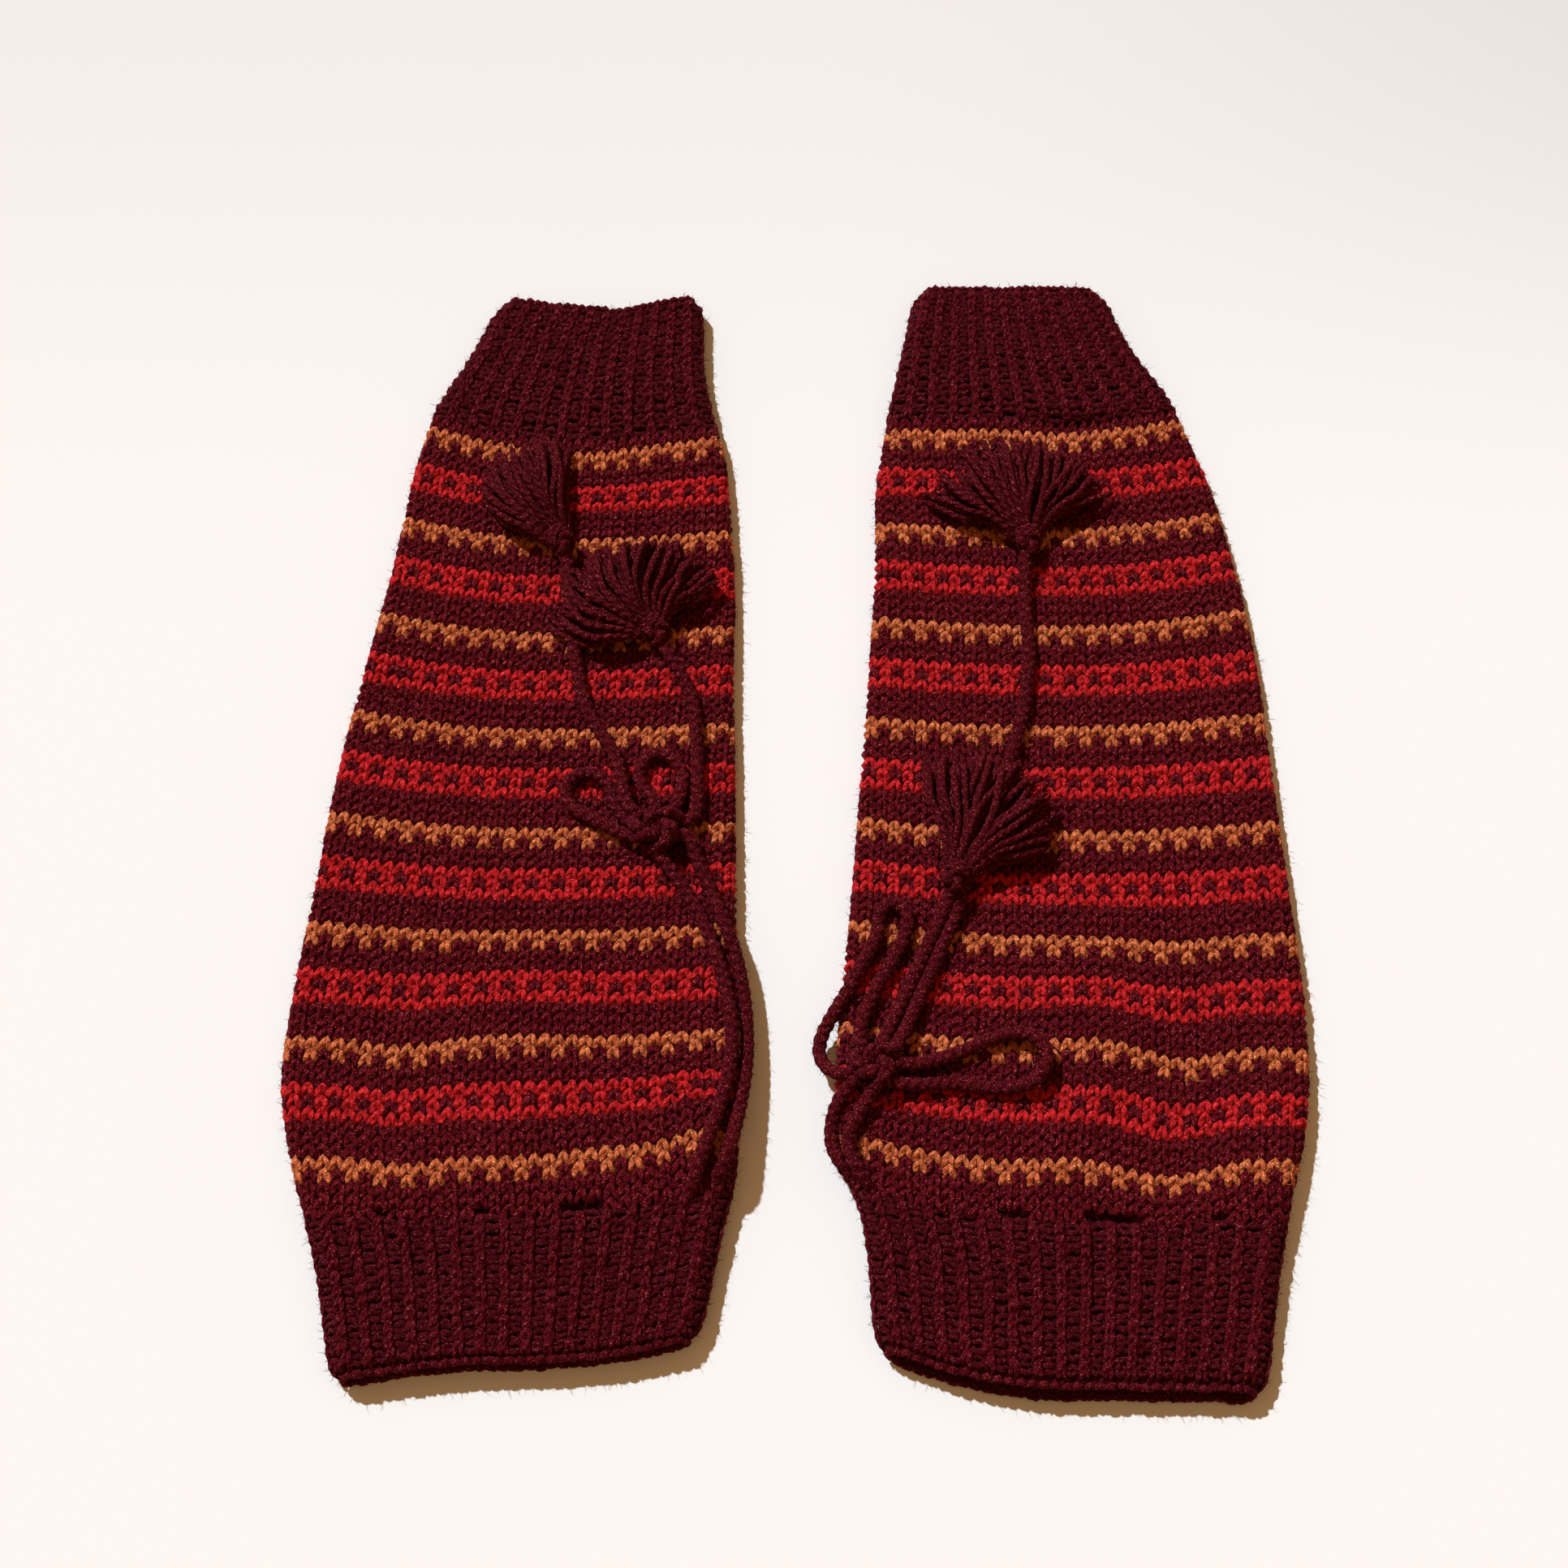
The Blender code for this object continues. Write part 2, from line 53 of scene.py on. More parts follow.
# Knitting gauge
ROWS = 101                  # knitted rows from ankle hem to knee hem
ANKLE_RIB_END = 14          # last row of the ankle rib
KNEE_RIB_START = 89         # first row of the knee rib
ANKLE_RIBS = 26             # 1 x 1 ribs all the way round
KNEE_RIBS = 34
PITCH_ROWS = (14, 30, 60, 88)
PITCH_WIDTHS = (4.25, 4.45, 4.65, 4.75)    # width of a stitch at those rows
RIB_DEPTH = 1.0             # purl valleys lie this much lower than the ribs
BASE_DEPTH = 0.55           # the plain cloth under the stitches lies this far inside the solids
BODY_INNER = 1.8            # from that cloth to the inside of the tube
RIB_INNER = 2.3
YARN_HALF = 1.16            # half width of the yarn as it lies in a stitch
YARN_FLATTEN = 0.80         # its height against its width
RIB_STITCH = 3.0            # width of a knit stitch in the ribs
RIPPLE = 0.22               # the upper layer is never quite flat
TABLE_CLEAR = 0.03          # yarns and fibres stay this far above the table
CLOTH_CLEAR = 0.05

# One row across a leg: where its middle and its two edges lie, how far each end of the row
# rises towards the ankle, and how high both layers of the cloth stack up.
Section = namedtuple("Section", "row middle_y left_x right_x left_rise right_rise stack")
# A place where the upper layer is lifted and pulled towards the ankle. across runs from -1 at
# the left edge to 1 at the right edge.
Pucker = namedtuple("Pucker", "row across reach_rows reach_across lift pull")
# The lower layer of the knee hem reaches out past the upper one by knee_lip.
Leg = namedtuple("Leg", "side sections puckers slits knee_lip seed")

LEFT_SECTIONS = (
    Section(0, 203.0, -115.5, -37.6, 4.0, 5.0, 9.4),
    Section(7, 175.0, -128.0, -36.9, 4.0, 2.5, 9.4),
    Section(12, 151.5, -138.0, -33.0, 8.0, 4.0, 9.2),
    Section(15, 137.0, -141.5, -29.3, 11.0, 6.0, 8.0),
    Section(20, 118.5, -145.8, -26.4, 10.0, 4.0, 7.6),
    Section(30, 79.5, -151.2, -24.1, 9.5, 3.5, 7.4),
    Section(40, 40.5, -158.6, -24.0, 8.5, 3.0, 7.4),
    Section(50, 2.0, -165.2, -23.2, 8.0, 2.5, 7.4),
    Section(60, -36.5, -169.8, -22.6, 5.5, 3.0, 7.6),
    Section(70, -75.5, -174.6, -21.5, 2.5, 3.5, 8.0),
    Section(78, -106.5, -176.4, -20.8, 0.0, 5.0, 8.6),
    Section(84, -131.0, -171.8, -20.6, -1.0, 7.5, 9.2),
    Section(88, -148.0, -166.4, -21.6, -1.0, 9.0, 9.6),
    Section(93, -168.5, -159.6, -26.4, -2.0, 9.0, 9.8),
    Section(101, -200.5, -152.2, -33.2, -6.0, 7.5, 9.8),
)
RIGHT_SECTIONS = (
    Section(0, 211.5, 47.2, 119.6, -0.5, -0.5, 9.4),
    Section(7, 184.0, 41.8, 130.0, 0.0, 1.0, 9.4),
    Section(12, 158.5, 36.6, 143.2, 1.0, 4.0, 9.2),
    Section(15, 144.0, 34.2, 147.4, 2.0, 6.5, 8.0),
    Section(20, 123.5, 30.8, 154.6, 2.5, 7.0, 7.6),
    Section(30, 83.0, 29.6, 163.2, 3.5, 7.5, 7.4),
    Section(40, 42.5, 26.8, 168.4, 4.0, 6.5, 7.4),
    Section(50, 2.0, 23.4, 170.8, 4.5, 4.5, 7.4),
    Section(60, -38.5, 20.2, 172.8, 6.0, 3.0, 7.6),
    Section(70, -77.0, 16.2, 175.0, 7.0, -1.0, 8.0),
    Section(78, -108.5, 13.4, 173.8, 8.5, -3.0, 8.6),
    Section(84, -134.0, 12.8, 168.8, 11.0, 0.0, 9.2),
    Section(88, -150.5, 16.6, 164.2, 12.0, 0.5, 9.6),
    Section(93, -171.5, 22.6, 158.6, 13.0, -1.0, 9.8),
    Section(101, -208.5, 25.6, 151.2, 13.0, -1.0, 9.8),
)

# The large folds are those of the solids. The narrow ones are creases.
LEFT_PUCKERS = (
    Pucker(15, 0.15, 5, 0.30, 0.8, -2.0),
    Pucker(76, -0.50, 6, 0.22, -0.6, -3.0),
    Pucker(72, 0.05, 6, 0.28, 1.6, 1.5),
    Pucker(85, -0.48, 4, 0.20, 1.0, -3.2),
    Pucker(84, -0.05, 5, 0.18, 2.0, -1.4),
    Pucker(85, 0.42, 4, 0.18, -0.6, 1.2),
    Pucker(84, 0.80, 5, 0.14, 1.6, 3.0),
    Pucker(92, 0.15, 5, 0.30, 1.0, 0.0),
    Pucker(0, 0.20, 3, 0.22, 0.0, -2.0),
    Pucker(90.8, -0.19, 1.0, 0.14, 0.7, 0.0),
    Pucker(90.8, 0.30, 1.0, 0.16, 0.9, 0.0),
    Pucker(83.0, 0.72, 3.0, 0.035, -1.8, 0.0),
)
RIGHT_PUCKERS = (
    Pucker(12, -0.30, 6, 0.30, 0.8, 1.5),
    Pucker(66, 0.42, 6, 0.26, -0.6, -1.5),
    Pucker(75, 0.46, 7, 0.18, -1.0, -5.0),
    Pucker(74, 0.05, 7, 0.22, 1.8, 1.5),
    Pucker(84, 0.42, 5, 0.22, -0.6, -4.0),
    Pucker(85, 0.02, 4, 0.18, 1.8, 1.0),
    Pucker(83, 0.85, 6, 0.16, 1.4, 1.0),
    Pucker(93, -0.15, 5, 0.30, 1.0, 0.0),
    Pucker(90.8, 0.19, 1.0, 0.16, 1.0, 0.0),
    Pucker(92.0, 0.10, 5.0, 0.03, -1.4, 0.0),
    Pucker(12.2, 0.30, 1.2, 0.34, 2.0, -1.4),
    Pucker(13.9, 0.30, 0.5, 0.34, -2.0, 0.0),
)

# The drawstring is threaded through slits in one row, where the stitches are drawn aside. The
# half lengths of a slit and of the dent round it are shares of half the leg's width.
SLIT_ROW = 89
SLIT_HALF = 0.11            # of the dent
SLIT_REACH = 0.4            # rows of cloth that dip either side of it
SLIT_CLOSE = 0.7            # its lips are drawn together by this much each
LIP_OFF = 0.8               # rows from the slit's middle to each lip
LIP_REACH = 0.7             # rows of cloth that each lip takes along
Slit = namedtuple("Slit", "across open_half dip")

LEFT_SLITS = (
    Slit(-0.65, 0.035, 0.9),
    Slit(-0.19, 0.035, 1.0),
    Slit(0.30, 0.11, 1.6),
)
RIGHT_SLITS = (
    Slit(-0.26, 0.035, 0.9),
    Slit(0.19, 0.11, 1.6),
    Slit(0.69, 0.035, 1.0),
)

LEFT = Leg("left", LEFT_SECTIONS, LEFT_PUCKERS, LEFT_SLITS, 1.5, 21)
RIGHT = Leg("right", RIGHT_SECTIONS, RIGHT_PUCKERS, RIGHT_SLITS, 3.5, 22)

# Routes of the cords, close to those of the solids. An exit's last points run on into the cloth.
CORD_SHOWN = 2.45           # radius of a cord over the lobes of its plies
LEFT_CORDS = {
    "cord_tail_long": ((-86.3, 91.6, 12.0), (-84.0, 80.0, 11.0), (-83.3, 67.0, 10.4), (-82.0, 55.0, 10.4),
                       (-80.3, 45.0, 10.4), (-76.8, 31.0, 10.4), (-71.0, 20.5, 10.6), (-66.0, 12.0, 11.0),
                       (-63.4, 3.5, 11.8), (-62.0, -4.0, 13.0), (-59.6, -9.6, 14.0)),
    "cord_tail_short": ((-48.6, 54.0, 12.4), (-44.5, 47.0, 11.4), (-40.4, 39.0, 10.7), (-37.6, 30.0, 10.5),
                        (-36.6, 18.0, 10.5), (-36.2, 6.0, 10.7), (-36.0, -6.0, 11.3), (-37.6, -13.0, 12.2)),
    "cord_bow_left": ((-60.4, -13.4, 11.6), (-65.0, -7.4, 11.0), (-68.0, 0.4, 10.6), (-73.0, 4.6, 10.4),
                      (-79.6, 4.0, 10.4), (-83.0, -1.8, 10.4), (-80.4, -8.0, 10.4), (-73.6, -12.2, 10.6),
                      (-66.6, -16.0, 11.0), (-59.2, -19.6, 11.6)),
    "cord_bow_right": ((-51.4, -6.6, 12.4), (-55.4, -0.8, 11.2), (-56.8, 6.0, 10.4), (-52.6, 12.0, 10.4),
                       (-45.6, 11.2, 10.4), (-41.6, 5.0, 10.6), (-41.6, -2.4, 11.4), (-43.6, -8.6, 12.4)),
    "cord_exit_front": ((-48.4, -27.2, 12.0), (-43.0, -34.4, 10.8), (-37.0, -43.8, 10.5),
                        (-31.6, -55.0, 10.7), (-27.4, -67.0, 11.0), (-24.4, -79.0, 11.6),
                        (-22.9, -92.0, 12.2), (-24.0, -106.0, 12.6), (-27.6, -120.0, 13.4),
                        (-31.8, -132.0, 14.0), (-34.6, -141.0, 13.4), (-36.6, -146.5, 10.0),
                        (-38.0, -149.0, 5.5)),
    "cord_exit_edge": ((-38.4, -20.6, 12.2), (-35.4, -29.0, 10.9), (-30.8, -39.6, 10.6), (-26.0, -51.0, 10.6),
                       (-22.0, -62.0, 10.0), (-19.2, -75.0, 8.8), (-17.8, -88.0, 8.2), (-17.8, -101.0, 8.6),
                       (-19.4, -114.0, 10.0), (-21.8, -126.0, 12.2), (-24.2, -134.6, 13.6),
                       (-27.0, -140.6, 11.0), (-30.0, -143.5, 5.5)),
}
RIGHT_CORDS = {
    "cord_tail_long": ((84.9, 91.4, 12.0), (84.3, 80.0, 11.0), (84.3, 66.0, 10.4), (84.7, 53.0, 10.4),
                       (82.6, 34.0, 10.4), (79.2, 20.0, 10.4), (75.4, 8.0, 10.4), (70.4, -7.0, 10.4),
                       (65.6, -18.6, 10.4), (61.0, -28.5, 10.6), (57.8, -39.0, 10.8), (54.6, -49.4, 10.8),
                       (49.0, -62.2, 10.8), (42.4, -77.2, 11.2), (37.0, -89.6, 12.8), (33.2, -96.6, 15.2)),
    "cord_tail_short": ((53.0, -41.0, 12.4), (49.4, -50.2, 11.4), (43.4, -63.2, 10.8), (36.6, -78.2, 11.0),
                        (31.2, -89.6, 12.2), (28.2, -96.0, 14.0)),
    "cord_bow_left": ((20.8, -94.5, 12.8), (22.2, -86.0, 11.6), (27.0, -75.0, 11.0), (32.8, -65.0, 10.8),
                      (37.2, -55.6, 10.6), (38.1, -49.6, 10.6), (36.6, -45.9, 10.6), (33.2, -44.3, 10.6),
                      (29.9, -45.8, 10.6), (28.3, -49.6, 10.6), (27.2, -56.4, 10.6), (22.8, -65.4, 10.8),
                      (17.8, -74.8, 10.6), (12.4, -83.4, 8.8), (8.2, -91.0, 6.9), (7.2, -97.4, 6.8),
                      (9.6, -103.0, 9.2), (14.4, -106.0, 12.0)),
    "cord_bow_right": ((35.0, -102.6, 12.8), (41.0, -102.6, 12.2), (48.4, -100.6, 11.8), (57.0, -97.6, 11.6),
                       (64.0, -94.4, 11.6), (71.0, -92.2, 12.4), (78.0, -92.4, 13.8), (83.0, -96.4, 15.0),
                       (84.0, -102.4, 15.2), (80.6, -108.2, 14.6), (75.0, -110.6, 13.2), (68.6, -111.0, 12.0),
                       (61.6, -110.4, 11.2), (54.6, -109.4, 11.4), (47.5, -109.4, 11.8), (41.0, -110.0, 12.6),
                       (34.6, -109.6, 13.2)),
    "cord_exit_front": ((24.6, -112.4, 13.0), (20.8, -118.8, 12.0), (17.4, -125.0, 12.2),
                        (16.8, -131.8, 12.7), (19.4, -138.2, 12.8), (23.6, -143.6, 9.5),
                        (26.2, -146.2, 5.5)),
    "cord_exit_edge": ((17.4, -109.6, 12.2), (13.2, -115.4, 9.6), (11.2, -122.0, 7.6), (11.2, -129.0, 7.6),
                       (13.6, -135.2, 10.0), (17.2, -139.8, 7.5), (20.4, -142.4, 5.5)),
}

Knot = namedtuple("Knot", "x y z half_x half_y half_z")
KNOTS = {
    "left": Knot(-50.0, -17.4, 13.0, 10.4, 8.6, 5.2),
    "right": Knot(25.8, -103.4, 13.8, 8.8, 8.4, 5.0),
}
# A tassel fans out from its head: degrees of its heading and half spread, yarns across, length,
# how much longer it is towards its left side, and how far its yarns curl.
Tassel = namedtuple("Tassel", "side name x y z heading half_spread across length slope curl seed")
TASSELS = (
    Tassel("left", "tassel_long", -88.5, 97.4, 12.9, 124.0, 36.0, 11, 46.0, -0.12, -0.40, 3),
    Tassel("left", "tassel_short", -52.0, 60.4, 12.9, 118.0, 78.0, 13, 41.0, 0.12, -0.85, 5),
    Tassel("right", "tassel_long", 86.0, 97.4, 12.9, 97.0, 62.0, 12, 46.5, 0.05, -0.20, 7),
    Tassel("right", "tassel_short", 54.8, -36.0, 14.6, 62.0, 43.0, 12, 51.0, 0.08, 0.0, 11),
)

# Camera and light
CAMERA_PLACE = (-0.005, -0.3037, 0.764)
CAMERA_TILT = 22.0          # degrees from straight down
CAMERA_LENS = 52.16         # mm on a 36 mm wide sensor


def place_camera():
    """The camera looks down on the pair from beyond the knee hems."""
    data = bpy.data.cameras.new("camera")
    data.lens = CAMERA_LENS
    data.sensor_width = 36.0
    data.clip_start = 0.02
    camera = bpy.data.objects.new("camera", data)
    camera.location = CAMERA_PLACE
    camera.rotation_euler = (math.radians(CAMERA_TILT), 0.0, 0.0)
    bpy.context.scene.collection.objects.link(camera)
    bpy.context.scene.camera = camera


LAMP_POWER = 4.3
TO_LAMP = (-6.3, 8.0, 10.0)
FILL_COLOUR = (1.0, 0.57, 0.25, 1.0)
FILL_POWER = 0.34


def place_lights():
    """One strong lamp high on the left behind the ankle hems, and a weak warm fill from all round."""
    data = bpy.data.lights.new("key_lamp", "SUN")
    data.energy = LAMP_POWER
    data.color = (0.82, 0.92, 1.0)
    data.angle = math.radians(2.0)
    lamp = bpy.data.objects.new("key_lamp", data)
    lamp.rotation_euler = Vector(TO_LAMP).to_track_quat("Z", "Y").to_euler()
    bpy.context.scene.collection.objects.link(lamp)
    world = bpy.data.worlds.new("studio")
    world.use_nodes = True
    sky = world.node_tree.nodes["Background"]
    sky.inputs["Color"].default_value = FILL_COLOUR
    sky.inputs["Strength"].default_value = FILL_POWER
    bpy.context.scene.world = world
    bpy.context.scene.view_settings.view_transform = "Standard"


# Materials
def linear(code):
    """A linear colour from its sRGB hex code."""
    parts = [int(code[i:i + 2], 16) / 255 for i in (1, 3, 5)]
    return tuple(c / 12.92 if c <= 0.04045 else ((c + 0.055) / 1.055) ** 2.4 for c in parts) + (1.0,)


def add_node(tree, kind, sockets, **settings):
    """Add a node with its own settings; sockets gives each input a value or an output to link."""
    made = tree.nodes.new(kind)
    for name, value in settings.items():
        setattr(made, name, value)
    for name, value in sockets.items():
        if isinstance(value, bpy.types.NodeSocket):
            tree.links.new(value, made.inputs[name])
        else:
            made.inputs[name].default_value = value
    return made


def new_material(name):
    """A new material with its node tree and its shader."""
    material = bpy.data.materials.new(name)
    material.use_nodes = True
    return material, material.node_tree, material.node_tree.nodes["Principled BSDF"]


def per_metre(size_mm):
    """A noise texture's scale for features of about this size."""
    return 1000.0 / size_mm


YARN_PLIES = 2
YARN_LAY = 3.6              # a ply turns once round the yarn in this length
DEEP_SHADE, BRIGHT_SHADE = 1.05, 2.20      # sums of the patterns that give the two shades


def worsted_wool(name, deep, bright, glint):
    """Spun worsted wool: plies twist round each other, fibres of two shades are carded together,
    and a few fibres catch the light. The eye gets a soft heathered colour with tiny sparks, and
    hardly any gloss. The grooves between the plies are painted darker as painted shade, and the
    sparks are painted highlights in the colour."""
    material, tree, shader = new_material(name)
    where = add_node(tree, "ShaderNodeTexCoord", {}).outputs["Object"]
    along = add_node(tree, "ShaderNodeUVMap", {}, uv_map="yarn").outputs["UV"]
    split = add_node(tree, "ShaderNodeSeparateXYZ", {"Vector": along}).outputs
    turns = add_node(tree, "ShaderNodeMath", {0: split["Y"], 1: 1.0 / YARN_LAY},
                     operation="MULTIPLY").outputs[0]
    round_share = add_node(tree, "ShaderNodeMath", {0: split["X"], 1: float(YARN_PLIES), 2: turns},
                           operation="MULTIPLY_ADD").outputs[0]
    angle = add_node(tree, "ShaderNodeMath", {0: round_share, 1: 2 * math.pi},
                     operation="MULTIPLY").outputs[0]
    ply = add_node(tree, "ShaderNodeMath", {0: angle}, operation="SINE").outputs[0]
    ply_share = add_node(tree, "ShaderNodeMapRange", {"Value": ply, "From Min": -1.0}).outputs["Result"]
    fibre = add_node(tree, "ShaderNodeTexNoise",
                     {"Vector": where, "Scale": per_metre(0.6), "Detail": 2.0}).outputs["Fac"]
    heather = add_node(tree, "ShaderNodeTexNoise",
                       {"Vector": where, "Scale": per_metre(1.7), "Detail": 3.0}).outputs["Fac"]
    drift = add_node(tree, "ShaderNodeTexNoise",
                     {"Vector": where, "Scale": per_metre(15.0), "Detail": 1.0}).outputs["Fac"]
    # Heather, fibre and drift are the wool's own tones. The ply pattern darkens the grooves between the
    # plies: painted shade.
    shade = 0.0
    for pattern, weight in ((heather, 0.7), (fibre, 1.7), (drift, 0.4), (ply_share, 0.45)):
        shade = add_node(tree, "ShaderNodeMath", {0: pattern, 1: weight, 2: shade},
                         operation="MULTIPLY_ADD").outputs[0]
    shade_share = add_node(tree, "ShaderNodeMapRange", {"Value": shade, "From Min": DEEP_SHADE,
                                                        "From Max": BRIGHT_SHADE}).outputs["Result"]
    body = add_node(tree, "ShaderNodeMix", {"Factor": shade_share, "A": linear(deep), "B": linear(bright)},
                    data_type="RGBA")
    # Glints of lit fibres are painted into the colour as highlights. Single fibres are far too fine to show,
    # so the painted glints are as coarse as they need to be.
    painted_glint_noise = add_node(tree, "ShaderNodeTexNoise",
                     {"Vector": where, "Scale": per_metre(0.55), "Detail": 0.0}).outputs["Fac"]
    painted_glint_share = add_node(tree, "ShaderNodeMapRange",
                           {"Value": painted_glint_noise, "From Min": 0.62, "From Max": 0.80}).outputs["Result"]
    mixed = add_node(tree, "ShaderNodeMix", {"Factor": painted_glint_share, "A": body.outputs["Result"],
                                             "B": linear(glint)}, data_type="RGBA")
    height = add_node(tree, "ShaderNodeMath", {0: fibre, 1: 0.9, 2: ply_share},
                      operation="MULTIPLY_ADD").outputs[0]
    relief = add_node(tree, "ShaderNodeBump", {"Height": height, "Strength": 1.0, "Distance": 0.55 * MM})
    tree.links.new(mixed.outputs["Result"], shader.inputs["Base Color"])
    tree.links.new(relief.outputs["Normal"], shader.inputs["Normal"])
    shader.inputs["Roughness"].default_value = 0.9
    shader.inputs["IOR"].default_value = 1.45
    shader.inputs["Specular IOR Level"].default_value = 0.05
    shader.inputs["Sheen Weight"].default_value = 0.05
    shader.inputs["Sheen Roughness"].default_value = 0.5
    shader.inputs["Sheen Tint"].default_value = linear(glint)
    shader.inputs["Subsurface Weight"].default_value = 0.4
    shader.inputs["Subsurface Radius"].default_value = (1.0, 0.45, 0.35)
    shader.inputs["Subsurface Scale"].default_value = 0.9 * MM
    return material


FAR_DARKER = 0.09           # share of its tone that the sheet loses at the far edge of the picture
RIGHT_DARKER = 0.12


def table_cloth():
    """A smooth cream cotton sheet: matt, with a weave that is only just seen. A sun lamp has no
    fall-off, so the sheet's tone drops a little towards the far end and the right."""
    material, tree, shader = new_material("cream_cotton_sheet")
    where = add_node(tree, "ShaderNodeTexCoord", {}).outputs["Object"]
    place = add_node(tree, "ShaderNodeSeparateXYZ", {"Vector": where}).outputs
    far = add_node(tree, "ShaderNodeMapRange", {"Value": place["Y"], "From Min": 0.06, "From Max": 0.40},
                   interpolation_type="SMOOTHSTEP").outputs["Result"]
    right = add_node(tree, "ShaderNodeMapRange", {"Value": place["X"], "From Min": 0.0, "From Max": 0.45},
                     interpolation_type="SMOOTHSTEP").outputs["Result"]
    both = add_node(tree, "ShaderNodeMath", {0: far, 1: right}, operation="MULTIPLY").outputs[0]
    loss = add_node(tree, "ShaderNodeMath", {0: far, 1: FAR_DARKER}, operation="MULTIPLY").outputs[0]
    loss = add_node(tree, "ShaderNodeMath", {0: both, 1: RIGHT_DARKER, 2: loss},
                    operation="MULTIPLY_ADD").outputs[0]
    tone = add_node(tree, "ShaderNodeMix", {"Factor": loss, "A": linear("#f2efed"), "B": linear("#000000")},
                    data_type="RGBA")
    weave = add_node(tree, "ShaderNodeTexNoise",
                     {"Vector": where, "Scale": per_metre(0.9), "Detail": 1.0}).outputs["Fac"]
    relief = add_node(tree, "ShaderNodeBump", {"Height": weave, "Strength": 0.12, "Distance": 0.2 * MM})
    tree.links.new(tone.outputs["Result"], shader.inputs["Base Color"])
    tree.links.new(relief.outputs["Normal"], shader.inputs["Normal"])
    shader.inputs["Roughness"].default_value = 0.95
    shader.inputs["Specular IOR Level"].default_value = 0.05
    return material


# The knitted surface
def smooth_read(keys, values, at):
    """Read a table with a smooth curve through its rows."""
    last = len(keys) - 1
    at = min(max(at, keys[0]), keys[last])
    i = max(k for k in range(last) if keys[k] <= at)
    span = keys[i + 1] - keys[i]

    def slope(k):
        low, high = max(k - 1, 0), min(k + 1, last)
        return (values[high] - values[low]) / (keys[high] - keys[low])

    t = (at - keys[i]) / span
    rise = values[i + 1] - values[i]
    ease = t * t * (3 - 2 * t)
    return (values[i] + rise * ease
            + span * slope(i) * t * (1 - t) ** 2
            - span * slope(i + 1) * t * t * (1 - t))


FINE_ROWS = np.arange(-1.0, ROWS + 1.01, 0.25)
CORNER_INSET = 2.2          # a hem's corners are rounded by this much
CORNER_ROWS = 2.0
ROW_HEIGHT = 4.0            # of a knitted row, near enough, past the hems


def fine_table(leg):
    """The leg's sections read at every quarter row, run on by a row past each hem."""
    keys = [s.row for s in leg.sections]
    columns = []
    for c in range(1, len(Section._fields)):
        values = [s[c] for s in leg.sections]
        columns.append([smooth_read(keys, values, row) for row in FINE_ROWS])
    columns = np.array(columns)
    past = np.where(FINE_ROWS < 0, -FINE_ROWS, np.where(FINE_ROWS > ROWS, ROWS - FINE_ROWS, 0.0))
    columns[0] += past * ROW_HEIGHT
    from_hem = np.minimum(FINE_ROWS, ROWS - FINE_ROWS)
    corner = CORNER_INSET * np.clip(1 - from_hem / CORNER_ROWS, 0.0, 1.5) ** 2
    columns[1] += corner
    columns[2] -= corner
    return columns


TABLES = {leg.side: fine_table(leg) for leg in (LEFT, RIGHT)}


def sections_at(leg, row):
    """The cross sections at an array of rows."""
    table = TABLES[leg.side]
    return Section(row, *(np.interp(row, FINE_ROWS, column) for column in table))


def stadium(section):
    """Half the flat stretch and the end radius of the plain cloth under the stitches."""
    radius = section.stack / 2 - BASE_DEPTH
    flat = (section.right_x - section.left_x) / 2 - BASE_DEPTH - radius
    return flat, radius


def girth(leg, row):
    """All the way round the plain cloth at a row."""
    flat, radius = stadium(sections_at(leg, row))
    return 4 * flat + 2 * math.pi * radius


def pucker_sum(leg, row, across):
    """Lift and pull of the upper layer at places on the leg."""
    lift = np.zeros_like(row)
    pull = np.zeros_like(row)
    for p in leg.puckers:
        share = np.exp(-((row - p.row) / p.reach_rows) ** 2 - ((across - p.across) / p.reach_across) ** 2)
        lift += p.lift * share
        pull += p.pull * share
    for slit in leg.slits:
        near = np.exp(-((across - slit.across) / SLIT_HALF) ** 4)
        lift -= slit.dip * near * np.exp(-((row - SLIT_ROW) / SLIT_REACH) ** 2)
        pull += SLIT_CLOSE * near * (np.exp(-((row - SLIT_ROW - LIP_OFF) / LIP_REACH) ** 2)
                                     - np.exp(-((row - SLIT_ROW + LIP_OFF) / LIP_REACH) ** 2))
    return lift, pull


def on_tube(leg, row, arc, rise):
    """Places on the cloth: knitted row, way round from the middle of the top, and height."""
    row, arc, rise = np.broadcast_arrays(np.asarray(row, float), arc, rise)
    s = sections_at(leg, row)
    flat, radius = stadium(s)
    centre, half = (s.left_x + s.right_x) / 2, (s.right_x - s.left_x) / 2
    way = np.abs(arc)
    turn = np.clip((way - flat) / radius, 0.0, math.pi)
    under = np.maximum(way - flat - math.pi * radius, 0.0)
    straight = np.where(under > 0, flat - under, np.minimum(way, flat))
    x = centre + np.sign(arc) * (straight + (radius + rise) * np.sin(turn))
    across = (x - centre) / half
    lift, pull = pucker_sum(leg, row, across)
    ripple = RIPPLE * np.sin(row * 0.9 + across * 7.0) * np.sin(row * 0.37 - across * 11.0)
    upper = np.clip(0.5 + 0.5 * np.cos(turn), 0.0, 1.0)
    z = s.stack / 2 + (radius + rise) * np.cos(turn) + (lift + ripple) * upper ** 2
    z = np.maximum(z, CLOTH_CLEAR)
    share = np.clip(z / s.stack, 0.0, 1.0)
    side_rise = np.where(across < 0, s.left_rise, s.right_rise)
    lip = leg.knee_lip * np.clip((row - KNEE_RIB_START) / (ROWS - KNEE_RIB_START), 0.0, 1.0) ** 2
    y = s.middle_y + side_rise * across * across + pull * share - lip * (1 - share)
    return np.stack([x, y, z], axis=-1)


# Yarn as short capsules laid on the surface
Station = namedtuple("Station", "down out lift thick")

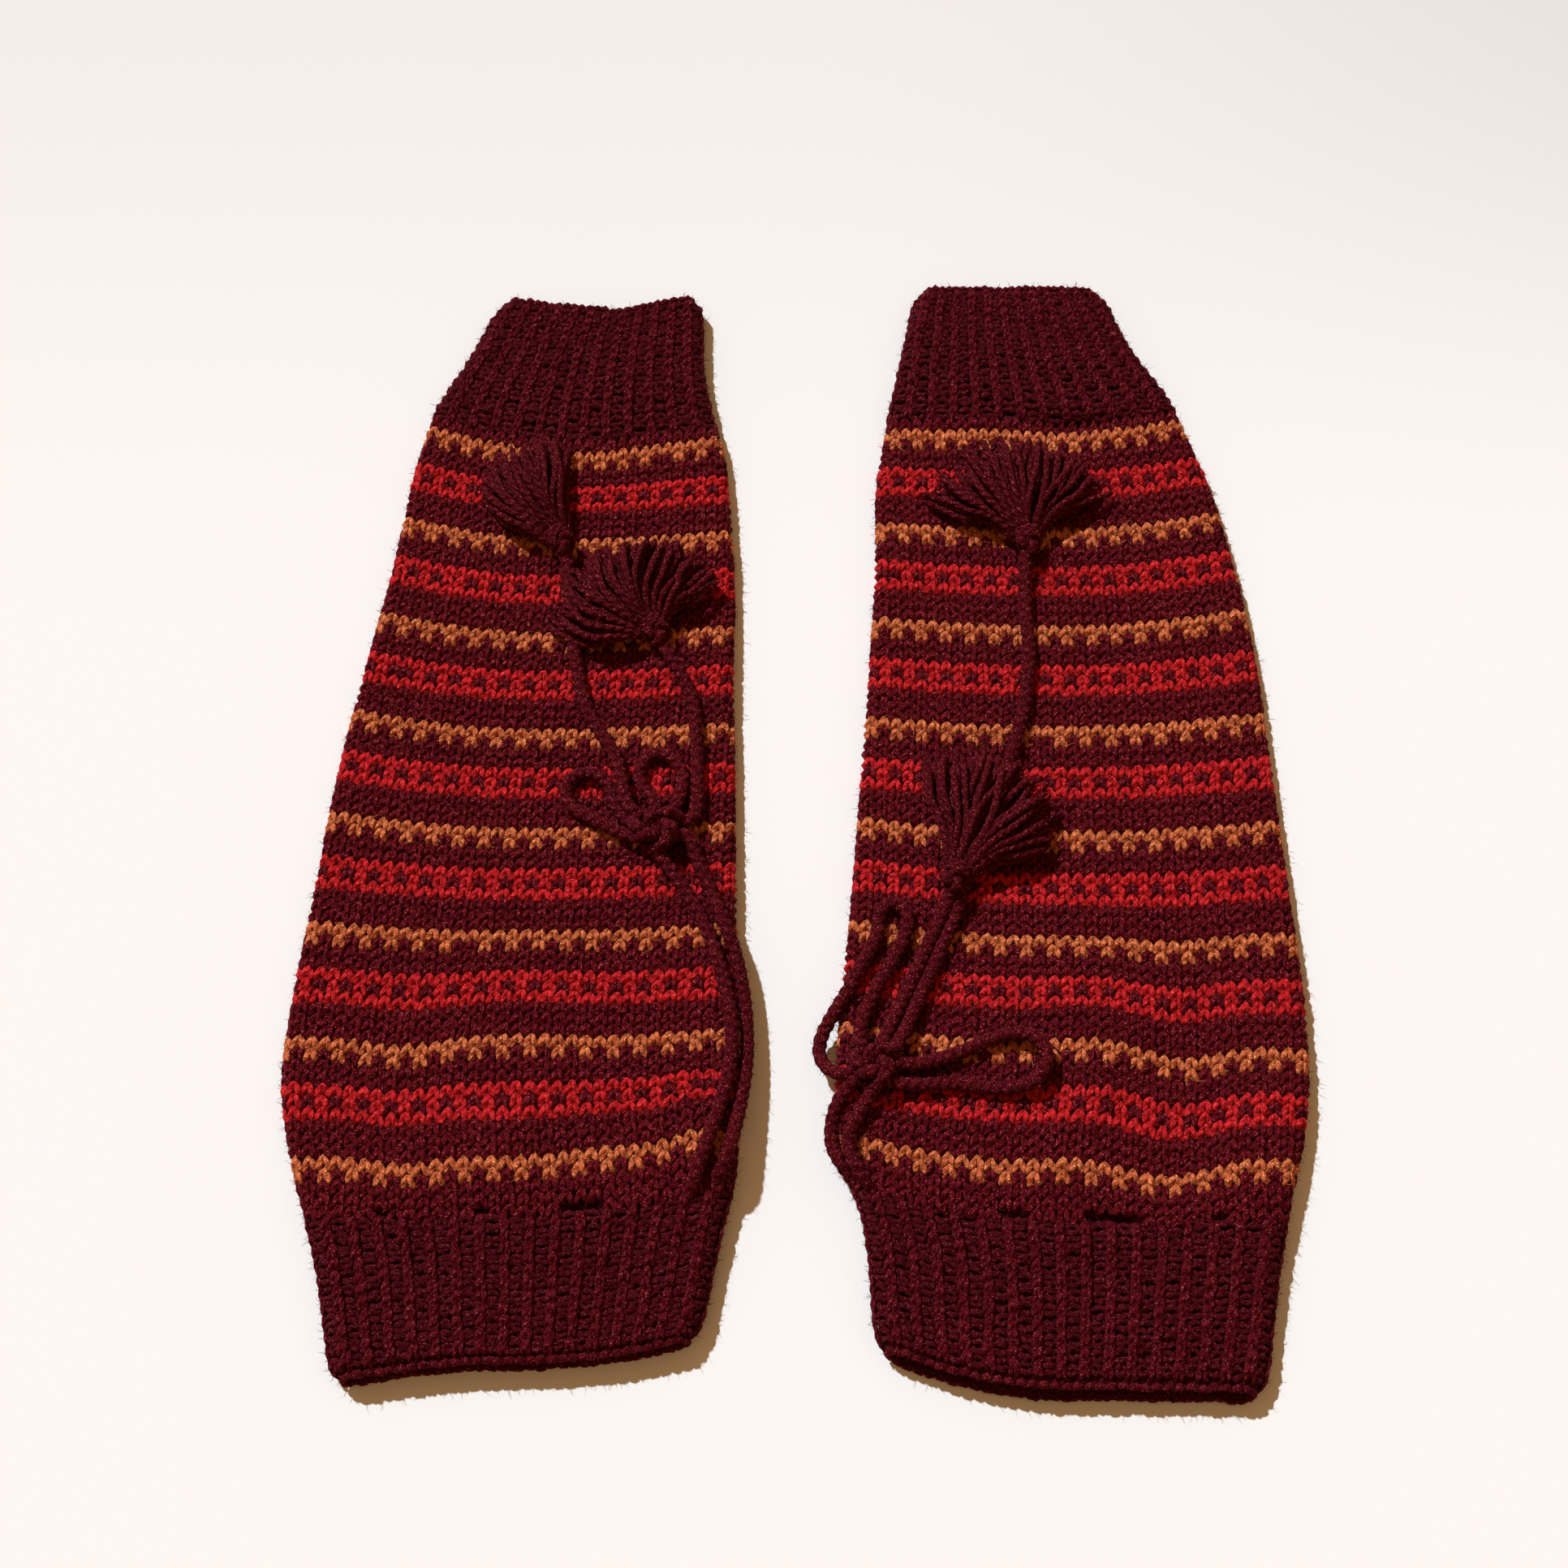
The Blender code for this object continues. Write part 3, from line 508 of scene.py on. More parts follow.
# One leg of a knit stitch, from its root under the row before to its end under the next.
# down is in rows towards the knee, out in stitch widths from the stitch's middle.
KNIT_LEG = (
    Station(-0.84, 0.01, -0.05, 0.0),
    Station(-0.48, 0.09, 0.46, 0.80),
    Station(-0.02, 0.24, 0.58, 1.08),
    Station(0.42, 0.39, 0.38, 1.00),
    Station(0.80, 0.47, -0.30, 0.0),
)
# The flat shapes are simpler, for the underside that lies on the table.
FLAT_KNIT_LEG = (
    Station(-0.82, 0.05, -0.10, 0.0),
    Station(-0.05, 0.25, 0.46, 1.15),
    Station(0.78, 0.44, -0.30, 0.0),
)
# In a rib the two legs of a knit stitch stand nearly upright, close together.
RIB_LEG = (
    Station(-0.90, 0.06, 0.10, 0.0),
    Station(-0.50, 0.14, 0.58, 0.90),
    Station(-0.02, 0.24, 0.86, 1.12),
    Station(0.44, 0.34, 0.56, 0.90),
    Station(0.86, 0.40, -0.10, 0.0),
)
# The bump of a purl stitch lies across its column.
PURL_BUMP = (
    Station(0.26, -0.60, 0.00, 0.0),
    Station(0.10, -0.36, 0.40, 0.95),
    Station(-0.12, 0.00, 0.48, 1.10),
    Station(0.10, 0.36, 0.40, 0.95),
    Station(0.26, 0.60, 0.00, 0.0),
)
FLAT_PURL_BUMP = (
    Station(0.16, -0.66, -0.30, 0.0),
    Station(-0.08, 0.00, 0.50, 1.20),
    Station(0.16, 0.66, -0.30, 0.0),
)

# The edge chain of a hem lies round the rim.
HEM_CHAIN = (
    Station(0.14, -0.74, -0.60, 0.0),
    Station(0.04, -0.36, -0.15, 1.00),
    Station(-0.06, 0.00, 0.05, 1.15),
    Station(0.04, 0.36, -0.15, 1.00),
    Station(0.14, 0.74, -0.60, 0.0),
)
FIBRE_WIDTH = 0.20          # real fibres are a tenth of this, too fine to show
FIBRE_LENGTHS = (1.0, 3.4)


class Fuzz:
    """Collects loose fibres that stand off the yarn, each as a bent sliver of three triangles."""

    def __init__(self):
        self.points = []
        self.slots = []
        self.count = 0

    def grow(self, root, outward, along, slot, chance):
        """Grow one fibre at each root. outward leaves the yarn there and along runs with it."""
        count = len(root)
        across = np.cross(along, outward)
        lean = along * chance.normal(0, 1, (count, 1)) + across * chance.normal(0, 1, (count, 1))
        heading = unit(outward * chance.uniform(0.15, 0.9, (count, 1)) + 0.7 * lean)
        curl = along * chance.normal(0, 1, (count, 1)) + across * chance.normal(0, 1, (count, 1))
        length = chance.uniform(*FIBRE_LENGTHS, (count, 1))
        middle = root + heading * length * 0.5
        tip = middle + unit(heading + 0.6 * curl) * length * 0.5
        wide = unit(np.cross(heading, outward) + 1e-4) * FIBRE_WIDTH / 2
        block = np.stack([root - wide, root + wide, middle - 0.8 * wide, middle + 0.8 * wide, tip], axis=1)
        block[..., 2] = np.maximum(block[..., 2], TABLE_CLEAR)
        self.points.append(block.reshape(-1, 3))
        self.slots.append(slot)
        self.count += count

    def build(self, name, materials):
        sliver = np.array([(0, 1, 3), (0, 3, 2), (2, 3, 4)])
        triangles = (sliver[None] + 5 * np.arange(self.count)[:, None, None]).reshape(-1, 3)
        uvs = np.zeros((3 * len(triangles), 2))
        slots = np.repeat(np.concatenate(self.slots), len(sliver))
        return mesh_object(name, np.concatenate(self.points), triangles, uvs, slots, materials)


def unit(vectors):
    """Vectors of length one in the same directions."""
    return vectors / np.maximum(np.linalg.norm(vectors, axis=-1, keepdims=True), 1e-6)


# How unevenly a stitch is knitted: standard deviations of its place in rows and in millimetres
# along the row, of its height, and of its yarn's thickness as a share.
UNEVEN_ROW = 0.035
UNEVEN_PLACE = 0.12
UNEVEN_BEND = 0.10
UNEVEN_HEIGHT = 0.08
UNEVEN_YARN = 0.06
UNEVEN_SPIN = 0.07


class YarnMesh:
    """Collects many short yarns, each with its own material number, into one mesh."""

    def __init__(self, sides, fuzz=None, fibres=0, coloured=0):
        self.sides = sides
        self.fuzz = fuzz
        self.fibres = fibres
        self.coloured = coloured    # 1 where a fibre takes its yarn's own colour
        self.points = []
        self.triangles = []
        self.uvs = []
        self.slots = []
        self.count = 0

    def lay(self, leg, row, arc, width, base, shape, mirror, slot, chance, thickness=1.0):
        """Lay one yarn of this shape at each place. mirror is 1 or -1, base the cloth's relief there."""
        places = len(row)
        stations = len(shape)
        down = np.array([s.down for s in shape])
        out = np.array([s.out for s in shape]) * mirror
        lift = np.array([s.lift for s in shape])
        thick = np.array([s.thick for s in shape])
        wobble_row = (row[:, None] + down[None, :] + chance.normal(0, UNEVEN_ROW, (places, 1))
                      + chance.normal(0, UNEVEN_ROW, (places, stations)))
        wobble_arc = (arc[:, None] + out[None, :] * width[:, None]
                      + chance.normal(0, UNEVEN_PLACE, (places, 1))
                      + chance.normal(0, UNEVEN_BEND, (places, stations)))
        height = base[:, None] + lift[None, :] + chance.normal(0, UNEVEN_HEIGHT, (places, 1))
        middle = on_tube(leg, wobble_row, wobble_arc, height)
        above = on_tube(leg, wobble_row, wobble_arc, height + 0.5)
        normal = unit(above - middle + 1e-5)
        ahead = unit(np.gradient(middle, axis=1))
        side = unit(np.cross(ahead, normal))
        half = YARN_HALF * thickness * thick[None, :] * (1 + chance.normal(0, UNEVEN_YARN, (places, 1))
                                                         + chance.normal(0, UNEVEN_SPIN, (places, stations)))
        inner = range(1, stations - 1)
        turns = 2 * math.pi * np.arange(self.sides) / self.sides
        rings = [middle[:, k, None, :]
                 + side[:, k, None, :] * (half[:, k, None] * np.cos(turns))[..., None]
                 + normal[:, k, None, :] * (YARN_FLATTEN * half[:, k, None] * np.sin(turns))[..., None]
                 for k in inner]
        block = np.concatenate([middle[:, :1]] + rings + [middle[:, -1:]], axis=1)
        block[..., 2] = np.maximum(block[..., 2], TABLE_CLEAR)
        faces, corners = capsule_faces(self.sides, len(rings))
        step = np.linalg.norm(np.diff(middle, axis=1), axis=-1)
        reach = np.concatenate([np.zeros((places, 1)), np.cumsum(step, axis=1)], axis=1)
        offset = chance.uniform(0, 9, places)
        per = block.shape[1]
        self.points.append(block.reshape(-1, 3))
        starts = self.count + per * np.arange(places)
        self.triangles.append((faces[None] + starts[:, None, None]).reshape(-1, 3))
        uv = np.empty((places, len(faces), 3, 2))
        uv[..., 0] = corners[None, :, :, 0]
        uv[..., 1] = reach[:, corners[:, :, 1].astype(int)] + offset[:, None, None]
        self.uvs.append(uv.reshape(-1, 2))
        self.slots.append(np.repeat(slot, len(faces)))
        self.count += per * places
        if self.fibres:
            pick = np.repeat(np.arange(places), self.fibres)
            k = chance.integers(1, stations - 1, len(pick))
            turn = chance.uniform(0.05, 0.95, (len(pick), 1)) * math.pi
            outward = side[pick, k] * np.cos(turn) + normal[pick, k] * np.sin(turn)
            root = middle[pick, k] + outward * (0.85 * half[pick, k])[:, None]
            self.fuzz.grow(root, outward, ahead[pick, k], slot[pick] * self.coloured, chance)

    def build(self, name, materials):
        return mesh_object(name, np.concatenate(self.points), np.concatenate(self.triangles),
                           np.concatenate(self.uvs), np.concatenate(self.slots), materials)


def capsule_faces(sides, rings):
    """Triangles of a capsule of rings between two poles, and each corner's way round and station."""
    faces, corners = [], []
    for j in range(sides):
        k = (j + 1) % sides
        u, v = j / sides, (j + 1) / sides
        faces.append((0, 1 + k, 1 + j))
        corners.append(((u, 0), (v, 1), (u, 1)))
        for r in range(rings - 1):
            a, b = 1 + r * sides, 1 + (r + 1) * sides
            faces.append((a + j, a + k, b + k))
            corners.append(((u, r + 1), (v, r + 1), (v, r + 2)))
            faces.append((a + j, b + k, b + j))
            corners.append(((u, r + 1), (v, r + 2), (u, r + 2)))
        last = 1 + (rings - 1) * sides
        faces.append((last + j, last + k, 1 + rings * sides))
        corners.append(((u, rings), (v, rings), (u, rings + 1)))
    return np.array(faces), np.array(corners, float)


def mesh_object(name, points, triangles, uvs, slots, materials):
    """A smooth-shaded object from arrays in millimetres, with its UV map and material numbers."""
    data = bpy.data.meshes.new(name)
    count = len(triangles)
    data.vertices.add(len(points))
    data.vertices.foreach_set("co", (points * MM).astype(np.float32).ravel())
    data.loops.add(3 * count)
    data.loops.foreach_set("vertex_index", triangles.astype(np.int32).ravel())
    data.polygons.add(count)
    data.polygons.foreach_set("loop_start", (3 * np.arange(count)).astype(np.int32))
    data.update(calc_edges=True)
    layer = data.uv_layers.new(name="yarn")
    layer.data.foreach_set("uv", uvs.astype(np.float32).ravel())
    for material in materials:
        data.materials.append(material)
    data.polygons.foreach_set("material_index", slots.astype(np.int32))
    data.shade_smooth()
    thing = bpy.data.objects.new(name, data)
    bpy.context.scene.collection.objects.link(thing)
    return thing


def tube_faces(around, rings):
    """Triangles and corners of a tube's skin of rings with so many points around."""
    faces, corners = [], []
    for r in range(rings - 1):
        a, b = r * around, (r + 1) * around
        for j in range(around):
            k = (j + 1) % around
            u, v = j / around, (j + 1) / around
            faces.append((a + j, b + j, b + k))
            corners.append(((u, r), (u, r + 1), (v, r + 1)))
            faces.append((a + j, b + k, a + k))
            corners.append(((u, r), (v, r + 1), (v, r)))
    return np.array(faces), np.array(corners, float)


def rib_relief(share):
    """Relief of ribbed cloth where share counts ribs round the tube: valleys lie at whole numbers."""
    return -RIB_DEPTH * (0.5 + 0.5 * np.cos(2 * math.pi * share)) ** 1.5


CLOTH_YARNS = 200.0         # yarns that the wool draws side by side round the plain cloth
CLOTH_RING = 4.0            # of yarn for each ring of the plain cloth


def plain_cloth(name, leg, start, end, inner, ribs, around, material):
    """The cloth under the stitches: a closed tube with an inner and an outer face."""
    rows = np.linspace(start, end, max(3, round((end - start) / 2) + 1))
    share = np.arange(around) / around - 0.5
    loops = []
    relief = rib_relief(share * ribs) if ribs else np.zeros(around)
    for row in rows:
        arc = share * girth(leg, row)
        loops.append(on_tube(leg, np.full(around, row), arc, relief))
    for row in rows[::-1]:
        arc = share * girth(leg, row)
        loops.append(on_tube(leg, np.full(around, row), arc, np.full(around, -inner)))
    loops.append(loops[0])
    points = np.concatenate(loops[:-1])
    faces, corners = tube_faces(around, len(loops))
    faces %= len(points)
    uvs = np.stack([corners[..., 0] * CLOTH_YARNS, corners[..., 1] * CLOTH_RING], axis=-1)
    return mesh_object(name, points, faces, uvs.reshape(-1, 2), np.zeros(len(faces)), [material])


# The chart
MAROON_SLOT, ORANGE_SLOT, RED_SLOT = 0, 1, 2
CHART_REPEAT = 10
ORANGE_ROWS = (15, 86)      # first and last row that may hold orange
RED_ROWS = (19, 81)
SLIP_REACH = 32             # a slip lies within so many columns of the middle
LINE_ROWS = 5               # rows for each line or band of the chart


def chart(row, column, chance):
    """The yarn of each stitch: a toothed orange line and a dotted red band in every ten rows.

    The teeth and dots go by twos. Where the knitter slipped, they miss a stitch and go on."""
    slip = np.zeros(len(row), int)
    for line in range(ROWS // LINE_ROWS + 1):
        place = chance.integers(-SLIP_REACH, SLIP_REACH + 1, 1)
        slip += (np.round(row / LINE_ROWS).astype(int) == line) & (column > place)
    beat = (column + slip) % 2
    phase = row % CHART_REPEAT
    orange = (phase == 5) | ((phase == 6) & (beat == 0))
    orange &= (row >= ORANGE_ROWS[0]) & (row <= ORANGE_ROWS[1])
    red = (phase == 9) | (phase == 1) | ((phase == 0) & (beat == 0))
    red &= (row >= RED_ROWS[0]) & (row <= RED_ROWS[1])
    return np.where(orange, ORANGE_SLOT, np.where(red, RED_SLOT, MAROON_SLOT))


MEETING_SPACE = 0.35        # share of a stitch kept free where the two halves of a row meet below
UPPER_TURN = 1.75           # radians round the leg's edge that still show from above


def body_places(leg):
    """Row, column, way round and width of every stitch of the body."""
    rows, columns, arcs, widths = [], [], [], []
    for row in range(ANKLE_RIB_END, SLIT_ROW + 1):
        width = float(np.interp(row, PITCH_ROWS, PITCH_WIDTHS))
        half = girth(leg, float(row)) / 2
        count = int(half / width - MEETING_SPACE)
        for column in range(-count, count):
            rows.append(row)
            columns.append(column)
            arcs.append((column + 0.5) * width)
            widths.append(width)
    return np.array(rows), np.array(columns), np.array(arcs), np.array(widths)


def is_upper(leg, row, arc):
    """Whether a stitch shows from above."""
    flat, radius = stadium(sections_at(leg, row.astype(float)))
    return np.abs(arc) < flat + radius * UPPER_TURN


def in_slit(leg, row, arc):
    """Whether a stitch of the body lies in one of the drawstring's slits."""
    s = sections_at(leg, row.astype(float))
    across = arc / (s.right_x - s.left_x) * 2
    within = np.zeros(len(row), bool)
    for slit in leg.slits:
        within |= np.abs(across - slit.across) < slit.open_half
    return within & (row == SLIT_ROW)


BODY_FIBRES = 4             # loose fibres on each leg of a stitch that shows from above


def body_stitches(leg, fuzz, materials):
    """Every stitch of the body as two short yarns that meet towards the ankle.

    Over a slit the stitches are left out, and the plain cloth shows in its dip."""
    chance = np.random.default_rng(leg.seed)
    row, column, arc, width = body_places(leg)
    slot = chart(row, column, chance)
    upper = is_upper(leg, row, arc)
    open_place = in_slit(leg, row, arc)
    made = []
    for name, mask, shape, yarns in (
            ("upper", upper & ~open_place, KNIT_LEG, YarnMesh(6, fuzz, BODY_FIBRES, coloured=1)),
            ("under", ~upper, FLAT_KNIT_LEG, YarnMesh(5))):
        place = row[mask].astype(float)
        for mirror in (1, -1):
            yarns.lay(leg, place, arc[mask], width[mask], np.zeros(len(place)), shape, mirror,
                      slot[mask], chance)
        made.append(yarns.build(f"{leg.side}_body_stitches_{name}", materials))
    return made


def rib_places(leg, rows, ribs, offset):
    """Row, way round and rib width at every row of a rib, offset in ribs from the top middle."""
    row = np.repeat(rows, ribs)
    rib = np.tile(np.arange(-(ribs // 2), ribs - ribs // 2), len(rows))
    width = girth(leg, row) / ribs
    return row, (rib + offset) * width, width


KNIT_SLOT, PURL_SLOT = 0, 1     # the ribs' two wools: purl bumps lie in shade, and their wool is painted darker as shade
RIB_BASE = 0.06             # knit columns stand this far off the cloth's own relief
RIB_THICK = 0.90
PURL_LIFT = 0.45            # bumps stand this far off the valley's bottom
PURL_CLEAR = 0.6            # their ends stay this far from the middle of the knit columns
PURL_BENDS = ((1, -0.27), (-1, 0.23))      # two bumps a row: how each bends, and its place in rows
ANKLE_BUMP, KNEE_BUMP = 1.20, 1.04         # thickness, more at the ankle, whose rows are taller
HEM_SINK = 0.5
HEM_THICK = 1.05


def bent(shape, bend):
    """A shape as it is, or with -1 bent the other way along its column."""
    return [station._replace(down=station.down * bend) for station in shape]


def rib_stitches(leg, name, rows, ribs, hem, bump, fuzz, materials):
    """Knit columns standing up between purl valleys, painted darker as shade, and the chain along the hem.

    bump is the thickness of the purl bumps."""
    chance = np.random.default_rng(leg.seed + ribs)
    upper_yarns = YarnMesh(6, fuzz, BODY_FIBRES)
    under_yarns = YarnMesh(5)

    def lay_all(row, arc, width, base, shape, flat_shape, mirror, thickness, slot=KNIT_SLOT):
        upper = is_upper(leg, row, arc)
        for yarns, mask, form in ((upper_yarns, upper, shape), (under_yarns, ~upper, flat_shape)):
            count = int(mask.sum())
            yarns.lay(leg, row[mask], arc[mask], width[mask], np.full(count, base), form, mirror,
                      np.full(count, slot), chance, thickness)

    row, arc, width = rib_places(leg, rows, ribs, 0.5)
    for mirror in (1, -1):
        lay_all(row, arc, np.full(len(row), RIB_STITCH), RIB_BASE, RIB_LEG, FLAT_KNIT_LEG, mirror,
                RIB_THICK)
    for bend, aside in PURL_BENDS:
        row, arc, width = rib_places(leg, rows + aside, ribs, 0.0)
        reach = (width / 2 - PURL_CLEAR) / PURL_BUMP[-1].out * chance.uniform(0.85, 1.1, len(row))
        lay_all(row + chance.normal(0, 0.07, len(row)), arc + chance.normal(0, 0.3, len(row)), reach,
                PURL_LIFT - RIB_DEPTH, bent(PURL_BUMP, bend), bent(FLAT_PURL_BUMP, bend), 1, bump,
                PURL_SLOT)
    for offset in (0.25, 0.75):
        row, arc, width = rib_places(leg, np.array([float(hem)]), ribs, offset)
        lay_all(row, arc, width * 0.5, -HEM_SINK, HEM_CHAIN, HEM_CHAIN, 1, HEM_THICK)
    return [upper_yarns.build(f"{leg.side}_{name}_stitches_upper", materials),
            under_yarns.build(f"{leg.side}_{name}_stitches_under", materials)]


# Cords, knots and tassels
CURVE_STEPS = 12            # points that a smooth curve takes between two of its route's


def smooth_route(route, step):
    """Points about one step apart on a smooth curve through the route's own points."""
    route = [Vector(p) for p in route]
    ends = [route[0] * 2 - route[1]] + route + [route[-1] * 2 - route[-2]]
    fine = []
    for before, a, b, after in zip(ends, ends[1:], ends[2:], ends[3:]):
        for i in range(CURVE_STEPS):
            t = i / CURVE_STEPS
            fine.append((a * 2 + (b - before) * t + (before * 2 - a * 5 + b * 4 - after) * t * t
                         + (a * 3 - before - b * 3 + after) * t ** 3) / 2)
    fine.append(route[-1])
    travelled = [0.0]
    for a, b in zip(fine, fine[1:]):
        travelled.append(travelled[-1] + (b - a).length)
    count = max(2, round(travelled[-1] / step))
    points, at = [], 0
    for i in range(count + 1):
        want = travelled[-1] * i / count
        while at < len(fine) - 2 and travelled[at + 1] < want:
            at += 1
        span = travelled[at + 1] - travelled[at]
        points.append(fine[at].lerp(fine[at + 1], min(1.0, (want - travelled[at]) / span)))
    return points


def carried_frames(points):
    """A direction across the line at each point, carried along without twist."""
    aheads = []
    for i in range(len(points)):
        aheads.append((points[min(i + 1, len(points) - 1)] - points[max(i - 1, 0)]).normalized())
    across = aheads[0].cross(Vector((0, 0, 1)))
    if across.length < 0.01:
        across = Vector((1, 0, 0))
    frames = []
    for ahead in aheads:
        across = (across - ahead * across.dot(ahead)).normalized()
        frames.append((across, ahead.cross(across)))
    return frames


WIDER, LOWER = 1.06, 0.92   # yarns and cords lie a little flattened
END_SHARE = 0.55            # radius of a cut end as a share of the yarn's


def twisted_skin(points, radius, plies, lay, depth, sides, start_turn=0.0, closed=False):
    """Rings of a yarn whose plies show as lobes that turn along it, and the way along to each."""
    frames = carried_frames(points)
    rings = []
    way = 0.0
    ways = []
    total = len(points)
    for i, (point, (across, up)) in enumerate(zip(points, frames)):
        if i:
            way += (point - points[i - 1]).length
        ways.append(way)
        turn = start_turn + 2 * math.pi * way / lay
        end = 1.0 if closed or 0 < i < total - 1 else END_SHARE
        ring = []
        for j in range(sides):
            angle = 2 * math.pi * j / sides
            lobe = abs(math.cos(plies * (angle - turn) / 2))
            size = radius * end * (1 - depth + depth * lobe)
            ring.append(point + (across * math.cos(angle) * WIDER + up * math.sin(angle) * LOWER) * size)
        rings.append(ring)
    return rings, ways


class TwistMesh:
    """Collects twisted yarns into one mesh, with so many loose fibres at each ring."""

    def __init__(self, fuzz, fibres, chance):
        self.fuzz = fuzz
        self.fibres = fibres
        self.chance = chance
        self.points = []
        self.triangles = []
        self.uvs = []
        self.count = 0

    def add(self, line, radius, plies=3, lay=7.0, depth=0.22, sides=10, start_turn=0.0, closed=False):
        rings, ways = twisted_skin(line, radius, plies, lay, depth, sides, start_turn, closed)
        skin = np.repeat(np.array(rings), self.fibres, axis=0)
        pick = self.chance.integers(0, sides, len(skin))
        root = skin[np.arange(len(skin)), pick]
        outward = unit(root - np.repeat(np.array(line), self.fibres, axis=0))
        ahead = unit(np.repeat(np.gradient(np.array(line), axis=0), self.fibres, axis=0))
        self.fuzz.grow(root, outward, ahead, np.zeros(len(root), int), self.chance)
        block = [p for ring in rings for p in ring]
        base = self.count
        faces, corners = tube_faces(sides, len(rings))
        uv = np.stack([corners[..., 0], np.array(ways)[corners[..., 1].astype(int)]], axis=-1)
        faces = list(faces[:, ::-1] + base)
        uv = list(uv[:, ::-1])
        last = (len(rings) - 1) * sides
        if closed:
            for j in range(sides):
                k = (j + 1) % sides
                faces += [(base + last + j, base + k, base + j),
                          (base + last + j, base + last + k, base + k)]
                uv += [np.zeros((3, 2)), np.zeros((3, 2))]
        else:
            block += [line[0], line[-1]]
            head, tail = base + len(block) - 2, base + len(block) - 1
            for j in range(sides):
                k = (j + 1) % sides
                faces += [(head, base + j, base + k), (tail, base + last + k, base + last + j)]
                uv += [np.zeros((3, 2)), np.zeros((3, 2))]
        self.points.append(np.array(block))
        self.triangles.append(np.array(faces))
        self.uvs.append(np.array(uv).reshape(-1, 2))
        self.count += len(block)

    def build(self, name, material):
        triangles = np.concatenate(self.triangles)
        return mesh_object(name, np.concatenate(self.points), triangles, np.concatenate(self.uvs),
                           np.zeros(len(triangles)), [material])


CORD_STEP = 1.15            # between rings of a cord's mesh
CORD_LAY = 11.0             # a ply turns once round the cord in this length
CORD_FIBRES = 4             # loose fibres at each ring
CORD_GROOVE = 0.28          # share of the radius that the grooves between its plies go in
INTO_HEAD = 0.5             # share of the way to a tassel's middle that a tail runs on
INTO_KNOT = 0.4             # and the same for a cord and its knot


def into(place, piece, share):
    """A point part of the way from a cord's end to the middle of the piece that it enters."""
    return Vector(place).lerp(Vector((piece.x, piece.y, piece.z)), share)


def tassel_of(tail):
    """The name of the tassel on a tail: cord_tail_long carries tassel_long."""
    return "tassel_" + tail.split("_")[-1]


def cord_line(side, name, route):
    """The middle line of a cord, run on into its knot and, on a tail, into its tassel's head."""
    knot = KNOTS[side]
    if "tail" in name:
        tassel = next(t for t in TASSELS if t.side == side and t.name == tassel_of(name))
        route = [into(route[0], tassel, INTO_HEAD)] + list(route) + [into(route[-1], knot, INTO_KNOT)]
    elif "bow" in name:
        route = [into(route[0], knot, INTO_KNOT)] + list(route) + [into(route[-1], knot, INTO_KNOT)]
    else:
        route = [into(route[0], knot, INTO_KNOT)] + list(route)
    return smooth_route(route, CORD_STEP)


def line_length(points):
    """Length of a line of points, in metres."""
    return sum((b - a).length for a, b in zip(points, points[1:])) * MM


def trefoil(centre, half, turn=0.0, steps=72):
    """The middle line of an overhand knot drawn tight, within half sizes, its lobes turned first."""
    points = []
    for i in range(steps):
        t = 2 * math.pi * i / steps
        lobe_x = (math.sin(t) + 2 * math.sin(2 * t)) / 3
        lobe_y = (math.cos(t) - 2 * math.cos(2 * t)) / 3
        points.append(Vector((centre[0] + half[0] * (lobe_x * math.cos(turn) - lobe_y * math.sin(turn)),
                              centre[1] + half[1] * (lobe_x * math.sin(turn) + lobe_y * math.cos(turn)),
                              centre[2] - half[2] * math.sin(3 * t))))
    return points


Wind = namedtuple("Wind", "wide high turn")
WINDS = (
    Wind(1.00, 1.00, 0.0),
    Wind(0.74, 1.15, 0.9),
    Wind(-0.50, 0.80, 0.3),
)


KNOT_INSET = 1.2            # the cord's middle line lies this far inside the knot's sides
KNOT_SINK = 2.0             # and this far below its top


def bow_knot(side, knot, fuzz, chance, material):
    """The knot as wound cord."""
    mesh = TwistMesh(fuzz, CORD_FIBRES, chance)
    for wind in WINDS:
        half = ((knot.half_x - KNOT_INSET) * wind.wide, (knot.half_y - KNOT_INSET) * wind.wide,
                (knot.half_z - KNOT_SINK) * wind.high)
        mesh.add(trefoil((knot.x, knot.y, knot.z), half, wind.turn), CORD_SHOWN, lay=CORD_LAY,
                 depth=CORD_GROOVE, sides=14, closed=True)
    return mesh.build(f"{side}_bow_knot_wound", material)


YARN_RADIUS = 1.26          # cut yarns of the tassels
STRANDS = 5.0               # yarns in a tassel for each one across its fan
WAVE = 1.1                  # a cut yarn strays this far to either side
YARN_STEPS = 8              # stretches of a cut yarn's middle line
ROOT_OUT = 1.5              # a yarn starts this far from the middle of the head
ARCH_LOW, ARCH_MORE = 1.0, 6.4             # rise of the lowest yarn's arch, and what the highest adds
TIP_LOW, TIP_MORE = -3.4, 7.0              # the same for the tips
NECK_HALF = 3.4             # half width of the tied neck


